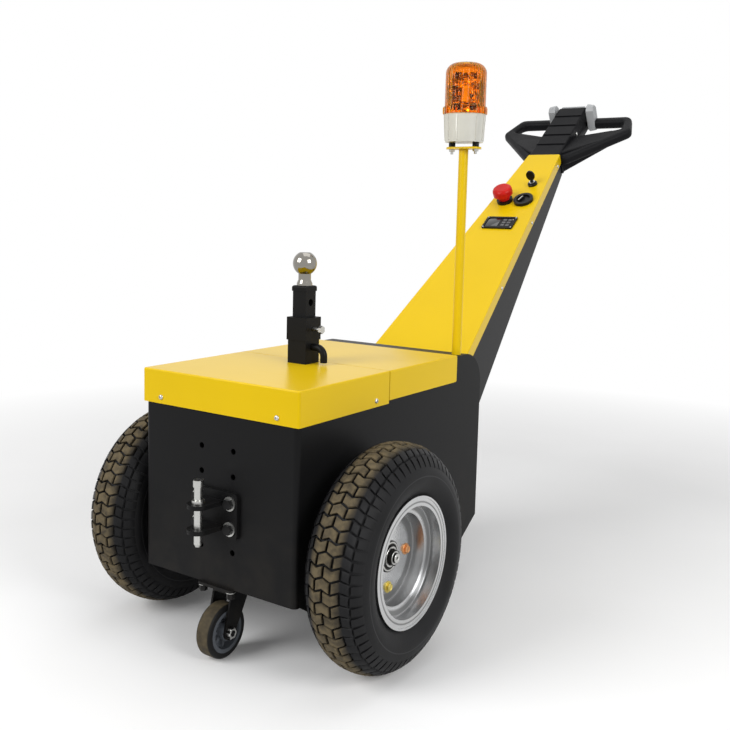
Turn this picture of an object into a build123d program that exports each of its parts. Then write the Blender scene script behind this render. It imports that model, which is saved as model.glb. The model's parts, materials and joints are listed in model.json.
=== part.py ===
import os
from math import atan2, cos, degrees, pi, radians, sin, sqrt, tan
from build123d import *

# Walk-behind electric tow tug, in millimetres.
# +Z is up, +X is across, +Y runs from the tow face to the tiller's grips.
# The origin is on the floor, below the middle of the whole tug.

# Drive wheels
tyre_diameter = 410
tyre_width = 122
tyre_wall = 9
tyre_shoulder_width = 88
tyre_shoulder_drop = 14
lug_count = 52
lug_depth = 6.5
lug_groove = 5
lug_flat_width = 20
lug_knee_width = 52
lug_knee_drop = 5
lug_end_width = 88
lug_end_drop = 16.5
rim_seat_diameter = 206
rim_flange_diameter = 235
rim_width = 104
rim_flange_lip = 5
rim_well_diameter = 172
rim_well_width = 50
rim_seat_width = 18
rim_sheet = 3.5
rim_disc_offset = -3
rim_disc_thickness = 4
bead_clearance = 0.5
wheel_track = 526
hub_flange_diameter = 132
hub_flange_thickness = 8
hub_barrel_diameter = 64
hub_barrel_length = 44
hub_nose_diameter = 56
hub_nose_height = 6
hub_nose_clearance = 0.5
hub_washer_diameter = 38
hub_washer_thickness = 2.5
hub_nut_width = 27
hub_nut_height = 8
shaft_diameter = 30
shaft_end_diameter = 18
shaft_end_length = 4
shaft_engagement = 30
running_clearance = 0.05

# Body
body_width = 361
body_wall = 4
front_to_axle = 163
rear_to_axle = 505
floor_height = 138
body_top_height = 513
skirt_height = 96
skirt_front_start = 150
skirt_slope_run = 66
corner_radius = 10
deck_radius = 72
deck_depth = 117
deck_lip = 30
axle_hole_clearance = 1

# Lids
lid_sheet = 3
lid_seat_gap = 0.3
lid_gap = 0.5
front_lid_skirt = 63
rear_lid_skirt = 57
rear_lid_flange = 15
lid_seam_to_axle = 115
lid_seam_gap = 2
lid_edge_radius = 4
lid_corner_radius = 3
lid_rear_gap = 3

# Ball hitch
hitch_to_axle = 85
post_width = 44
post_above_body = 49
socket_width = 33
sleeve_width = 48
sleeve_height = 45
shank_width = 32
shank_above_post = 107
shank_depth = 70
shank_hole_diameter = 14
shank_hole_drop = 33
cap_width = 35
cap_height = 11
cap_rounding = 4
ball_diameter = 47.6
ball_centre_rise = 43
ball_flat_diameter = 20
neck_diameter = 25
neck_flange_diameter = 31
neck_flange_height = 4
neck_flare_height = 7
post_pin_diameter = 14
post_pin_drop = 13
post_pin_tail = 6
post_pin_reach = 50
post_pin_bend = 17
post_pin_floor_gap = 4
pin_clearance = 0.4
post_hole_gap = 0.5
set_bolt_diameter = 8
set_bolt_reach = 16
set_bolt_head_width = 14
set_bolt_head_height = 6
set_bolt_tip_gap = 0.2

# Tow bracket on the front face
hole_column_spacing = 75
hole_row_pitch = 46
hole_bottom_height = 206
hole_rows = 5
hole_diameter = 11
bracket_bolt_row = 1
bracket_width = 108
bracket_height = 84
bracket_thickness = 8
bracket_corner_radius = 8
ear_thickness = 8
ear_spacing = 45
ear_washer_gap = 1
ear_root_depth = 4
ear_tip_radius = 20
ear_reach = 40
bolt_diameter = 10
bolt_grip_spare = 8
bolt_head_width = 17
bolt_head_height = 7
washer_diameter = 26
washer_thickness = 2.5
washer_clearance = 0.3
tow_pin_diameter = 15
tow_pin_above = 42
tow_pin_below = 25
tow_pin_head_diameter = 19
tow_pin_head_height = 12
tow_pin_collar_diameter = 23
tow_pin_collar_height = 6
tow_pin_seat_gap = 0.3
tow_pin_taper = 5

# Tiller column and cover
tiller_angle = 36
tiller_run = 726
tiller_foot_top = 469
tiller_foot_bottom = 240
tiller_foot_width = 262
tiller_tip_width = 98
tiller_tip_depth = 70
column_wall = 3
cover_sheet = 2
cover_flange = 30
cover_clearance = 0.4
cover_edge_radius = 3
cover_foot_gap = 1

# Tiller head
head_angle = 31
head_drop = 24
grip_thickness = 30
grip_rounding = 12
grip_length = 262
grip_bar_width = 31
grip_end_half_width = 176
grip_wide_half_width = 203
grip_wide_at = 168
grip_root_half_width = 62
grip_corner_radius = 24
window_start = 132
window_outer_half_width = 170
window_outer_at = 180
window_corner_radius = 15
block_root_half_width = 48
block_tip_half_width = 43
block_length = 256
block_root_height = 24
block_tip_height = 52
block_below = 52
block_edge_radius = 5
wing_inset = 12
wing_margin = 1.5
wing_end_half_width = 150
wing_root_above = 24
wing_root_below = 46
wing_back_below = 20
wing_end_low = 112
wing_edge_radius = 4
rib_count = 4
rib_depth = 3
rib_width = 10
throttle_thickness = 22
throttle_gap = 1
throttle_length = 84
throttle_width = 38
throttle_corner = 12
throttle_taper = 9
throttle_rounding = 2
throttle_neck_diameter = 14
throttle_lift = 20
throttle_clearance = 0.4
button_width = 76
button_height = 46
button_low = 6
button_thickness = 9
button_rounding = 5
button_edge_radius = 4

# Controls on the cover
stop_from_tip = 238
stop_across = -27
stop_head_diameter = 54
stop_head_height = 22
stop_neck_diameter = 30
stop_cone_height = 8
stop_height = 46
stop_base_diameter = 44
stop_base_height = 8
stop_rounding = 11
socket_from_tip = 236
socket_across = 28
socket_diameter = 54
socket_height = 9
socket_bore_diameter = 38
socket_bore_depth = 5
key_from_tip = 156
key_across = 24
key_diameter = 26
key_height = 7
key_chamfer = 1.5
key_barrel_diameter = 18
key_barrel_height = 10
key_blade_width = 8
key_blade_height = 8
key_bow_thickness = 5
key_bow_width = 24
key_bow_height = 30
key_bow_sink = 3
display_from_tip = 343
display_width = 88
display_length = 50
display_height = 5
display_bezel = 6
display_recess = 2
display_corner_radius = 3

# Beacon
pole_diameter = 20
pole_wall = 2
pole_across = 164
pole_from_axle = 418
pole_top_height = 952
plate_length = 78
plate_width = 40
plate_thickness = 4
foot_diameter = 14
foot_height = 10
foot_spacing = 56
beacon_base_diameter = 80
beacon_base_top_diameter = 87
beacon_base_height = 58
lens_diameter = 86
lens_collar_diameter = 92
lens_collar_height = 15
lens_height = 106
lens_wall = 3
lens_shoulder_radius = 22
reflector_diameter = 54
reflector_height = 50
reflector_wall = 2
reflector_lift = 22
reflector_cut = 4
lamp_diameter = 14
lamp_height = 36
lamp_rounding = 6
spindle_diameter = 22

# Castors
castor_wheel_diameter = 100
castor_wheel_width = 32
castor_tread_thickness = 11
castor_tread_rounding = 5
castor_hub_diameter = 32
castor_hub_gap = 0.5
tread_fit = 0.1
castor_rim_thickness = 7
castor_web_thickness = 12
castor_spokes = 8
castor_spoke_width = 6
castor_trail = 30
castor_plate_length = 100
castor_plate_width = 84
castor_plate_thickness = 5
castor_plate_radius = 8
castor_race_diameter = 56
castor_race_height = 8
castor_race_gap = 0.5
castor_crown_length = 60
castor_crown_radius = 10
castor_crown_thickness = 5
castor_leg_thickness = 4
castor_leg_gap = 3
castor_leg_top_width = 50
castor_leg_tip_radius = 14
castor_pin_diameter = 14
castor_pin_head_diameter = 24
castor_pin_head_height = 3
castor_pin_head_gap = 0.3
castor_axle_diameter = 12
castor_nut_width = 19
castor_nut_height = 7
front_castor_to_axle = -120
rear_castor_to_axle = 400

# Drive unit and battery
axle_tube_diameter = 70
axle_tube_reach = 18
axle_flange_width = 120
axle_flange_thickness = 8
axle_flange_radius = 10
shaft_end_room = 5
gearbox_length = 150
gearbox_depth = 110
gearbox_height = 120
battery_width = 330
battery_depth = 345
battery_height = 225
battery_to_axle = 300
battery_corner_radius = 12

# Places worked out from the sizes above
tyre_radius = tyre_diameter / 2
crown_radius = tyre_radius - lug_depth
half_body = body_width / 2
half_track = wheel_track / 2
inner_half = half_body - body_wall
floor_top = floor_height + body_wall
axle_height = tyre_radius
rise = radians(tiller_angle)
head_rise = radians(head_angle)
front_reach = front_to_axle + bracket_thickness + ear_reach + ear_tip_radius
grip_reach = (
    (grip_length - grip_rounding) * cos(head_rise)
    + (grip_thickness / 2 - grip_rounding) * sin(head_rise)
    + grip_rounding
)
bar_middle = grip_length - grip_bar_width / 2
throttle_reach = (
    bar_middle * cos(head_rise)
    - throttle_lift * sin(head_rise)
    + max(
        throttle_width / 2 * cos(head_rise) + (throttle_length / 2 - throttle_corner) * sin(head_rise),
        (throttle_width / 2 - throttle_corner) * cos(head_rise) + throttle_length / 2 * sin(head_rise),
    )
)
block_reach = block_length * cos(head_rise) + grip_thickness / 2 * sin(head_rise)
head_reach = max(grip_reach, throttle_reach, block_reach)
rear_reach = rear_to_axle + tiller_run + head_drop * sin(rise) + head_reach
axle_y = (front_reach - rear_reach) / 2
front_y = axle_y - front_to_axle
rear_y = axle_y + rear_to_axle
seam_y = axle_y + lid_seam_to_axle
hitch_y = axle_y + hitch_to_axle
deck_front_y = rear_y - deck_depth
lid_top = body_top_height + lid_seat_gap + lid_sheet
post_height = body_top_height + post_above_body
post_pin_height = post_height - post_pin_drop
shank_height = post_height + shank_above_post
shank_hole_height = shank_height - shank_hole_drop
ball_centre_height = shank_height + ball_centre_rise
half_lid = half_body + lid_gap + lid_sheet
tow_pin_y = front_y - bracket_thickness - ear_reach
bolt_low_height = hole_bottom_height + bracket_bolt_row * hole_row_pitch
ear_root_width = hole_column_spacing - washer_diameter - 2 * ear_washer_gap
bracket_centre_height = bolt_low_height + hole_row_pitch / 2
tip_y = rear_y + tiller_run
tip_z = tiller_foot_top + tiller_run * tan(rise)

os.makedirs("parts", exist_ok=True)


def save(piece, name):
    piece.part.label = name
    export_step(piece.part, f"parts/{name}.step")


# Body: the front and both sides are one bent sheet with a rounded rear top corner
with BuildPart() as body_wrap:
    with BuildSketch(Plane.YZ):
        with BuildLine():
            Polyline(
                (rear_y - deck_radius, body_top_height),
                (front_y, body_top_height),
                (front_y, floor_height),
                (axle_y - skirt_front_start, floor_height),
                (axle_y - skirt_front_start + skirt_slope_run, skirt_height),
                (rear_y - skirt_slope_run, skirt_height),
                (rear_y, floor_height),
                (rear_y, body_top_height - deck_radius),
            )
            RadiusArc(
                (rear_y, body_top_height - deck_radius),
                (rear_y - deck_radius, body_top_height),
                -deck_radius,
            )
        make_face()
    extrude(amount=half_body, both=True)
    fillet(body_wrap.edges().filter_by(Axis.Z).group_by(Axis.Y)[0], radius=corner_radius)
    inside_front = front_y + body_wall
    inside_rear = rear_y + corner_radius
    with BuildSketch(Plane.XY):
        with Locations((0, (inside_front + inside_rear) / 2)):
            RectangleRounded(2 * inner_half, inside_rear - inside_front, corner_radius - body_wall)
    extrude(amount=2 * body_top_height, mode=Mode.SUBTRACT)
    with BuildSketch(Plane.YZ):
        with Locations((axle_y, axle_height)):
            Circle(axle_tube_diameter / 2 + axle_hole_clearance)
    extrude(amount=body_width, both=True, mode=Mode.SUBTRACT)
    hole_middle = hole_bottom_height + hole_row_pitch * (hole_rows - 1) / 2
    with BuildSketch(Plane((0, front_y, hole_middle), x_dir=(1, 0, 0), z_dir=(0, -1, 0))):
        with GridLocations(hole_column_spacing, hole_row_pitch, 2, hole_rows):
            Circle(hole_diameter / 2)
    extrude(amount=-2 * body_wall, mode=Mode.SUBTRACT)
save(body_wrap, "body_wrap")

# Floor plate between the sides
with BuildPart() as floor_plate:
    with BuildSketch(Plane.XY.offset(floor_height)):
        with Locations((0, (front_y + rear_y) / 2)):
            RectangleRounded(2 * inner_half, rear_y - front_y - 2 * body_wall, corner_radius)
    extrude(amount=body_wall)
save(floor_plate, "floor_plate")

# Rear panel: deck behind the lids, rolled over into the back wall
with BuildPart() as rear_panel:
    with BuildSketch(Plane.YZ):
        with BuildLine():
            Polyline(
                (rear_y - deck_radius, body_top_height),
                (deck_front_y, body_top_height),
                (deck_front_y, body_top_height - deck_lip),
                (deck_front_y + body_wall, body_top_height - deck_lip),
                (deck_front_y + body_wall, body_top_height - body_wall),
                (rear_y - deck_radius, body_top_height - body_wall),
            )
            RadiusArc(
                (rear_y - deck_radius, body_top_height - body_wall),
                (rear_y - body_wall, body_top_height - deck_radius),
                deck_radius - body_wall,
            )
            Polyline(
                (rear_y - body_wall, body_top_height - deck_radius),
                (rear_y - body_wall, floor_height),
                (rear_y, floor_height),
                (rear_y, body_top_height - deck_radius),
            )
            RadiusArc(
                (rear_y, body_top_height - deck_radius),
                (rear_y - deck_radius, body_top_height),
                -deck_radius,
            )
        make_face()
    extrude(amount=inner_half, both=True)
save(rear_panel, "rear_panel")

# Front lid: screwed tray with a skirt on three sides, cut out for the hitch post
with BuildPart() as front_lid:
    lid_front = front_y - lid_gap - lid_sheet
    lid_rear = seam_y - lid_seam_gap / 2
    with BuildSketch(Plane.XY.offset(lid_top)):
        with Locations((0, (lid_front + lid_rear) / 2)):
            Rectangle(2 * half_lid, lid_rear - lid_front)
    extrude(amount=-front_lid_skirt)
    fillet(front_lid.edges().filter_by(Axis.Z).group_by(Axis.Y)[0], radius=lid_edge_radius)
    rim_edges = front_lid.faces().sort_by(Axis.Z)[-1].edges()
    fillet(rim_edges.sort_by(Axis.Y)[:-1], radius=lid_corner_radius)
    with BuildSketch(Plane.XY.offset(lid_top - lid_sheet)):
        with Locations((0, (lid_front + lid_sheet + lid_rear) / 2 + lid_sheet)):
            Rectangle(2 * (half_lid - lid_sheet), lid_rear - lid_front + lid_sheet)
    extrude(amount=-front_lid_skirt, mode=Mode.SUBTRACT)
    with BuildSketch(Plane.XY.offset(lid_top)):
        with Locations((0, hitch_y)):
            Rectangle(post_width + 2 * post_hole_gap, post_width + 2 * post_hole_gap)
    extrude(amount=-2 * lid_sheet, mode=Mode.SUBTRACT)
save(front_lid, "front_lid")

# Rear lid: lifts off for the battery, skirt on both sides and a short flange inside the deck
with BuildPart() as rear_lid:
    lid_front = seam_y + lid_seam_gap / 2
    lid_rear = deck_front_y - lid_rear_gap
    with BuildSketch(Plane.XY.offset(lid_top)):
        with Locations((0, (lid_front + lid_rear) / 2)):
            Rectangle(2 * half_lid, lid_rear - lid_front)
    extrude(amount=-rear_lid_skirt)
    fillet(rear_lid.edges().filter_by(Axis.X).group_by(Axis.Y)[-1].sort_by(Axis.Z)[0], radius=lid_edge_radius)
    rim_edges = rear_lid.faces().sort_by(Axis.Z)[-1].edges()
    fillet(rim_edges.sort_by(Axis.Y)[1:], radius=lid_corner_radius)
    with BuildSketch(Plane.XY.offset(lid_top - lid_sheet)):
        with Locations((0, (lid_front + lid_rear) / 2)):
            Rectangle(2 * (half_lid - lid_sheet), 2 * (lid_rear - lid_front))
    extrude(amount=-rear_lid_skirt, mode=Mode.SUBTRACT)
    with BuildSketch(Plane.XY.offset(lid_top - lid_sheet)):
        with Locations((0, lid_rear - lid_edge_radius - lid_sheet / 2)):
            Rectangle(2 * (inner_half - lid_sheet), lid_sheet)
    extrude(amount=-rear_lid_flange)
save(rear_lid, "rear_lid")

# Ball hitch: a square post from the floor through the front lid
with BuildPart() as ball_post:
    with BuildSketch(Plane.XY.offset(floor_top)):
        with Locations((0, hitch_y)):
            Rectangle(post_width, post_width)
            Rectangle(socket_width, socket_width, mode=Mode.SUBTRACT)
    extrude(amount=post_height - floor_top)
    with BuildSketch(Plane.YZ):
        with Locations((hitch_y, post_pin_height)):
            Circle(post_pin_diameter / 2 + pin_clearance)
    extrude(amount=post_width, both=True, mode=Mode.SUBTRACT)
save(ball_post, "ball_post")

set_bolt_height = post_height + sleeve_height / 2
with BuildPart() as ball_sleeve:
    with BuildSketch(Plane.XY.offset(post_height)):
        with Locations((0, hitch_y)):
            Rectangle(sleeve_width, sleeve_width)
            Rectangle(socket_width, socket_width, mode=Mode.SUBTRACT)
    extrude(amount=sleeve_height)
    with BuildSketch(Plane.YZ):
        with Locations((hitch_y, set_bolt_height)):
            Circle(set_bolt_diameter / 2 + pin_clearance)
    extrude(amount=sleeve_width, mode=Mode.SUBTRACT)
save(ball_sleeve, "ball_sleeve")

# Square shank with a rounded collar at its top and two cross holes
with BuildPart() as ball_shank:
    with BuildSketch(Plane.XY.offset(post_height - shank_depth)):
        with Locations((0, hitch_y)):
            Rectangle(shank_width, shank_width)
    extrude(amount=shank_height - post_height + shank_depth)
    with BuildSketch(Plane.XY.offset(shank_height)):
        with Locations((0, hitch_y)):
            Rectangle(cap_width, cap_width)
    extrude(amount=-cap_height)
    fillet(ball_shank.faces().sort_by(Axis.Z)[-1].edges(), radius=cap_rounding)
    with BuildSketch(Plane.YZ):
        with Locations((hitch_y, shank_hole_height)):
            Circle(shank_hole_diameter / 2)
        with Locations((hitch_y, post_pin_height)):
            Circle(post_pin_diameter / 2 + pin_clearance)
    extrude(amount=shank_width, both=True, mode=Mode.SUBTRACT)
save(ball_shank, "ball_shank")

# Tow ball with a flat top, on its neck and flange
ball_radius = ball_diameter / 2
with BuildPart() as tow_ball:
    with BuildSketch(Plane((0, hitch_y, 0), x_dir=(1, 0, 0), z_dir=(0, -1, 0))):
        flat_rise = sqrt(ball_radius**2 - (ball_flat_diameter / 2) ** 2)
        neck_drop = sqrt(ball_radius**2 - (neck_diameter / 2) ** 2)
        with BuildLine():
            Polyline(
                (0, ball_centre_height + flat_rise),
                (0, shank_height),
                (neck_flange_diameter / 2, shank_height),
                (neck_flange_diameter / 2, shank_height + neck_flange_height),
                (neck_diameter / 2, shank_height + neck_flange_height + neck_flare_height),
                (neck_diameter / 2, ball_centre_height - neck_drop),
            )
            ThreePointArc(
                (neck_diameter / 2, ball_centre_height - neck_drop),
                (ball_radius, ball_centre_height),
                (ball_flat_diameter / 2, ball_centre_height + flat_rise),
            )
            Line(
                (ball_flat_diameter / 2, ball_centre_height + flat_rise),
                (0, ball_centre_height + flat_rise),
            )
        make_face()
    revolve(axis=Axis((0, hitch_y, 0), (0, 0, 1)))
save(tow_ball, "tow_ball")

# Bent lock pin through the post and the shank
with BuildPart() as post_pin:
    pin_start = -post_width / 2 - post_pin_tail
    with BuildLine(Plane.XZ.offset(-hitch_y)) as pin_path:
        FilletPolyline(
            (pin_start, post_pin_height),
            (post_pin_reach, post_pin_height),
            (post_pin_reach, lid_top + post_pin_floor_gap),
            radius=post_pin_bend,
        )
    with BuildSketch(Plane((pin_start, hitch_y, post_pin_height), z_dir=(1, 0, 0))):
        Circle(post_pin_diameter / 2)
    sweep(path=pin_path.wire())
save(post_pin, "post_pin")

# Set bolt in the sleeve, its tip against the shank
with BuildPart() as set_bolt:
    bolt_tip = shank_width / 2 + set_bolt_tip_gap
    bolt_head = sleeve_width / 2 + set_bolt_reach
    with BuildSketch(Plane((bolt_tip, hitch_y, set_bolt_height), z_dir=(1, 0, 0))):
        Circle(set_bolt_diameter / 2)
    extrude(amount=bolt_head - bolt_tip)
    with BuildSketch(Plane((bolt_head, hitch_y, set_bolt_height), z_dir=(1, 0, 0))):
        RegularPolygon(set_bolt_head_width / 2, 6, major_radius=False)
    extrude(amount=set_bolt_head_height)
save(set_bolt, "set_bolt")

# Tow bracket: flange on the front face with two ears for the pin
tow_pin_hole = tow_pin_diameter / 2 + pin_clearance
ear_low = bracket_centre_height - ear_spacing / 2 - ear_thickness / 2
ear_high = bracket_centre_height + ear_spacing / 2 - ear_thickness / 2
front_plane = Plane((0, front_y, bracket_centre_height), x_dir=(1, 0, 0), z_dir=(0, -1, 0))
with BuildPart() as tow_bracket:
    with BuildSketch(front_plane):
        RectangleRounded(bracket_width, bracket_height, bracket_corner_radius)
        with GridLocations(hole_column_spacing, hole_row_pitch, 2, 2):
            Circle(hole_diameter / 2, mode=Mode.SUBTRACT)
    extrude(amount=bracket_thickness)
    ear_root_y = front_y - bracket_thickness - ear_root_depth / 2
    for ear_base in (ear_low, ear_high):
        with BuildSketch(Plane.XY.offset(ear_base)):
            with Locations((0, tow_pin_y)):
                Circle(ear_tip_radius)
            with Locations((0, ear_root_y)):
                Rectangle(ear_root_width, ear_root_depth)
            make_hull()
            with Locations((0, tow_pin_y)):
                Circle(tow_pin_hole, mode=Mode.SUBTRACT)
        extrude(amount=ear_thickness)
save(tow_bracket, "tow_bracket")

# Washers under the bracket's bolt heads
with BuildPart() as bracket_washers:
    with BuildSketch(front_plane.offset(bracket_thickness)):
        with GridLocations(hole_column_spacing, hole_row_pitch, 2, 2):
            Circle(washer_diameter / 2)
            Circle(bolt_diameter / 2 + washer_clearance, mode=Mode.SUBTRACT)
    extrude(amount=washer_thickness)
save(bracket_washers, "bracket_washers")

# Bracket bolts, through the front face
with BuildPart() as bracket_bolts:
    with BuildSketch(front_plane.offset(bracket_thickness + washer_thickness)):
        with GridLocations(hole_column_spacing, hole_row_pitch, 2, 2):
            RegularPolygon(bolt_head_width / 2, 6, major_radius=False)
    extrude(amount=bolt_head_height)
    with BuildSketch(front_plane.offset(bracket_thickness + washer_thickness)):
        with GridLocations(hole_column_spacing, hole_row_pitch, 2, 2):
            Circle(bolt_diameter / 2)
    extrude(amount=-washer_thickness - bracket_thickness - body_wall - bolt_grip_spare)
save(bracket_bolts, "bracket_bolts")

# Tow pin: drops through both ears and hangs on its collar
with BuildPart() as tow_pin:
    collar_low = ear_high + ear_thickness + tow_pin_seat_gap
    pin_top = ear_high + ear_thickness + tow_pin_above
    pin_bottom = ear_low - tow_pin_below
    pin_radius = tow_pin_diameter / 2
    with BuildSketch(Plane((0, tow_pin_y, 0), x_dir=(1, 0, 0), z_dir=(0, -1, 0))):
        with BuildLine():
            Polyline(
                (0, pin_top),
                (0, pin_bottom),
                (pin_radius - tow_pin_taper / 2, pin_bottom),
                (pin_radius, pin_bottom + tow_pin_taper),
                (pin_radius, collar_low),
                (tow_pin_collar_diameter / 2, collar_low),
                (tow_pin_collar_diameter / 2, collar_low + tow_pin_collar_height),
                (pin_radius, collar_low + tow_pin_collar_height),
                (pin_radius, pin_top - tow_pin_head_height),
                (tow_pin_head_diameter / 2, pin_top - tow_pin_head_height),
                (tow_pin_head_diameter / 2, pin_top),
                close=True,
            )
        make_face()
    revolve(axis=Axis((0, tow_pin_y, 0), (0, 0, 1)))
save(tow_pin, "tow_pin")


# Tiller: the sides toe in evenly along Y, so every wall is flat
def half_width(y, inset):
    taper = (tiller_foot_width - tiller_tip_width) / 2 / tiller_run
    return tiller_foot_width / 2 - taper * (y - rear_y) - inset


def plan_outline(y_start, y_end, inset):
    return [
        (-half_width(y_start, inset), y_start),
        (half_width(y_start, inset), y_start),
        (half_width(y_end, inset), y_end),
        (-half_width(y_end, inset), y_end),
    ]


def cover_line(along, below):
    return (
        rear_y + along * cos(rise) + below * sin(rise),
        tiller_foot_top + along * sin(rise) - below * cos(rise),
    )


def at_foot(y, below):
    return (y, tiller_foot_top + (y - rear_y) * tan(rise) - below / cos(rise))


cover_length = tiller_run / cos(rise)
column_inset = cover_sheet + cover_clearance
plan_end = tip_y + tiller_tip_depth
with BuildPart() as column_core:
    end_y, end_z = cover_line(cover_length, tiller_tip_depth)
    back_slope = atan2(end_z - tiller_foot_bottom, end_y - rear_y)
    core_start = rear_y + column_wall
    core_lift = column_wall / cos(back_slope)
    core_end = cover_length - column_wall
    core_y, core_z = cover_line(core_end, 0)
    core_floor = tiller_foot_bottom + (core_y - rear_y) * tan(back_slope) + core_lift
    core_depth = (core_z - core_floor) / (cos(rise) + sin(rise) * tan(back_slope))
    with BuildSketch(Plane.YZ):
        with BuildLine():
            Polyline(
                at_foot(core_start, -column_wall),
                (core_start, tiller_foot_bottom + (core_start - rear_y) * tan(back_slope) + core_lift),
                cover_line(core_end, core_depth),
                cover_line(core_end, -column_wall),
                close=True,
            )
        make_face()
    extrude(amount=tiller_foot_width, both=True)
    with BuildSketch(Plane.XY):
        with BuildLine():
            Polyline(*plan_outline(rear_y, plan_end, column_inset + column_wall), close=True)
        make_face()
    extrude(amount=2 * tip_z, mode=Mode.INTERSECT)

with BuildPart() as tiller_column:
    with BuildSketch(Plane.YZ):
        with BuildLine():
            Polyline(
                at_foot(rear_y, cover_sheet),
                (rear_y, tiller_foot_bottom),
                cover_line(cover_length, tiller_tip_depth),
                cover_line(cover_length, cover_sheet),
                close=True,
            )
        make_face()
    extrude(amount=tiller_foot_width, both=True)
    with BuildSketch(Plane.XY):
        with BuildLine():
            Polyline(*plan_outline(rear_y, plan_end, column_inset), close=True)
        make_face()
    extrude(amount=2 * tip_z, mode=Mode.INTERSECT)
    add(column_core.part, mode=Mode.SUBTRACT)
save(tiller_column, "tiller_column")

# Bent cover over the column's open top
with BuildPart() as cover_core:
    with BuildSketch(Plane.YZ):
        with BuildLine():
            Polyline(
                at_foot(rear_y, cover_sheet),
                at_foot(rear_y, 2 * cover_flange),
                cover_line(cover_length + cover_flange, 2 * cover_flange),
                cover_line(cover_length + cover_flange, cover_sheet),
                close=True,
            )
        make_face()
    extrude(amount=tiller_foot_width, both=True)
    with BuildSketch(Plane.XY):
        with BuildLine():
            Polyline(*plan_outline(rear_y, plan_end, cover_sheet), close=True)
        make_face()
    extrude(amount=2 * tip_z, mode=Mode.INTERSECT)

with BuildPart() as tiller_cover:
    cover_start = rear_y + cover_foot_gap
    with BuildSketch(Plane.YZ):
        with BuildLine():
            Polyline(
                at_foot(cover_start, 0),
                at_foot(cover_start, cover_flange),
                cover_line(cover_length, cover_flange),
                cover_line(cover_length, 0),
                close=True,
            )
        make_face()
    extrude(amount=tiller_foot_width, both=True)
    with BuildSketch(Plane.XY):
        with BuildLine():
            Polyline(*plan_outline(rear_y, plan_end, 0), close=True)
        make_face()
    extrude(amount=2 * tip_z, mode=Mode.INTERSECT)
    cover_top = tiller_cover.faces().sort_by(Axis((0, 0, 0), (0, -sin(rise), cos(rise))))[-1]
    top_edges = cover_top.edges().sort_by(Axis.X)
    fillet([top_edges[0], top_edges[-1]], radius=cover_edge_radius)
    add(cover_core.part, mode=Mode.SUBTRACT)
save(tiller_cover, "tiller_cover")

# Tiller head: a ribbed block between two loop grips, moulded in one piece
head_origin = (0, tip_y + head_drop * sin(rise), tip_z - head_drop * cos(rise))
head_plane = Plane(head_origin, x_dir=(1, 0, 0), z_dir=(0, -sin(head_rise), cos(head_rise)))
head_side = Plane(head_origin, x_dir=(0, cos(head_rise), sin(head_rise)), z_dir=(1, 0, 0))
tip_plane = Plane((0, tip_y, tip_z), x_dir=(1, 0, 0), z_dir=(0, cos(rise), sin(rise)))
bar_low = grip_length - grip_bar_width
throttle_start = block_root_half_width + throttle_gap
throttle_end = throttle_start + throttle_thickness + throttle_gap

with BuildPart() as head_block:
    block_start = -2 * block_below
    block_slope = (block_tip_height - block_root_height) / block_length
    with BuildSketch(head_side):
        with BuildLine():
            Polyline(
                (block_start, -block_below),
                (block_start, block_root_height + block_start * block_slope),
                (block_length, block_tip_height),
                (block_length, -grip_thickness / 2),
                close=True,
            )
        make_face()
    extrude(amount=2 * block_root_half_width, both=True)
    with BuildSketch(head_plane):
        with BuildLine():
            Polyline(
                (-block_root_half_width, block_start),
                (block_root_half_width, block_start),
                (block_tip_half_width, block_length),
                (-block_tip_half_width, block_length),
                close=True,
            )
        make_face()
    extrude(amount=2 * block_tip_height, both=True, mode=Mode.INTERSECT)
    block_top = head_block.faces().sort_by(Axis(head_origin, head_plane.z_dir))[-1]
    fillet(block_top.edges(), radius=block_edge_radius)
    rib_pitch = block_length / (rib_count + 1)
    with BuildSketch(head_side):
        for number in range(1, rib_count + 1):
            with Locations((number * rib_pitch, block_root_height + number * rib_pitch * block_slope)):
                Rectangle(rib_width, 2 * rib_depth, rotation=degrees(atan2(block_slope, 1)))
    extrude(amount=2 * block_root_half_width, both=True, mode=Mode.SUBTRACT)

# Wings: faceted roots of the loops, deep at the block and thin at their outer ends
window_slope = (window_outer_at - window_start) / (window_outer_half_width - block_root_half_width)
wing_end_high = window_start + (wing_end_half_width - block_root_half_width) * window_slope - wing_margin
wing_back = window_start - wing_margin
wing_end_half_depth = grip_thickness / 2 - wing_margin
with BuildPart() as head_wings:
    with BuildSketch(head_side.offset(block_tip_half_width - wing_inset)):
        with BuildLine():
            Polyline(
                (0, -wing_root_below),
                (wing_back, -wing_back_below),
                (wing_back, wing_end_half_depth),
                (0, wing_root_above),
                close=True,
            )
        make_face()
    with BuildSketch(head_side.offset(wing_end_half_width)):
        with BuildLine():
            Polyline(
                (wing_end_low, -wing_end_half_depth),
                (wing_end_high, -wing_end_half_depth),
                (wing_end_high, wing_end_half_depth),
                (wing_end_low, wing_end_half_depth),
                close=True,
            )
        make_face()
    loft(ruled=True)
    fillet(head_wings.edges(), radius=wing_edge_radius)
    mirror(about=Plane.YZ)

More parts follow.
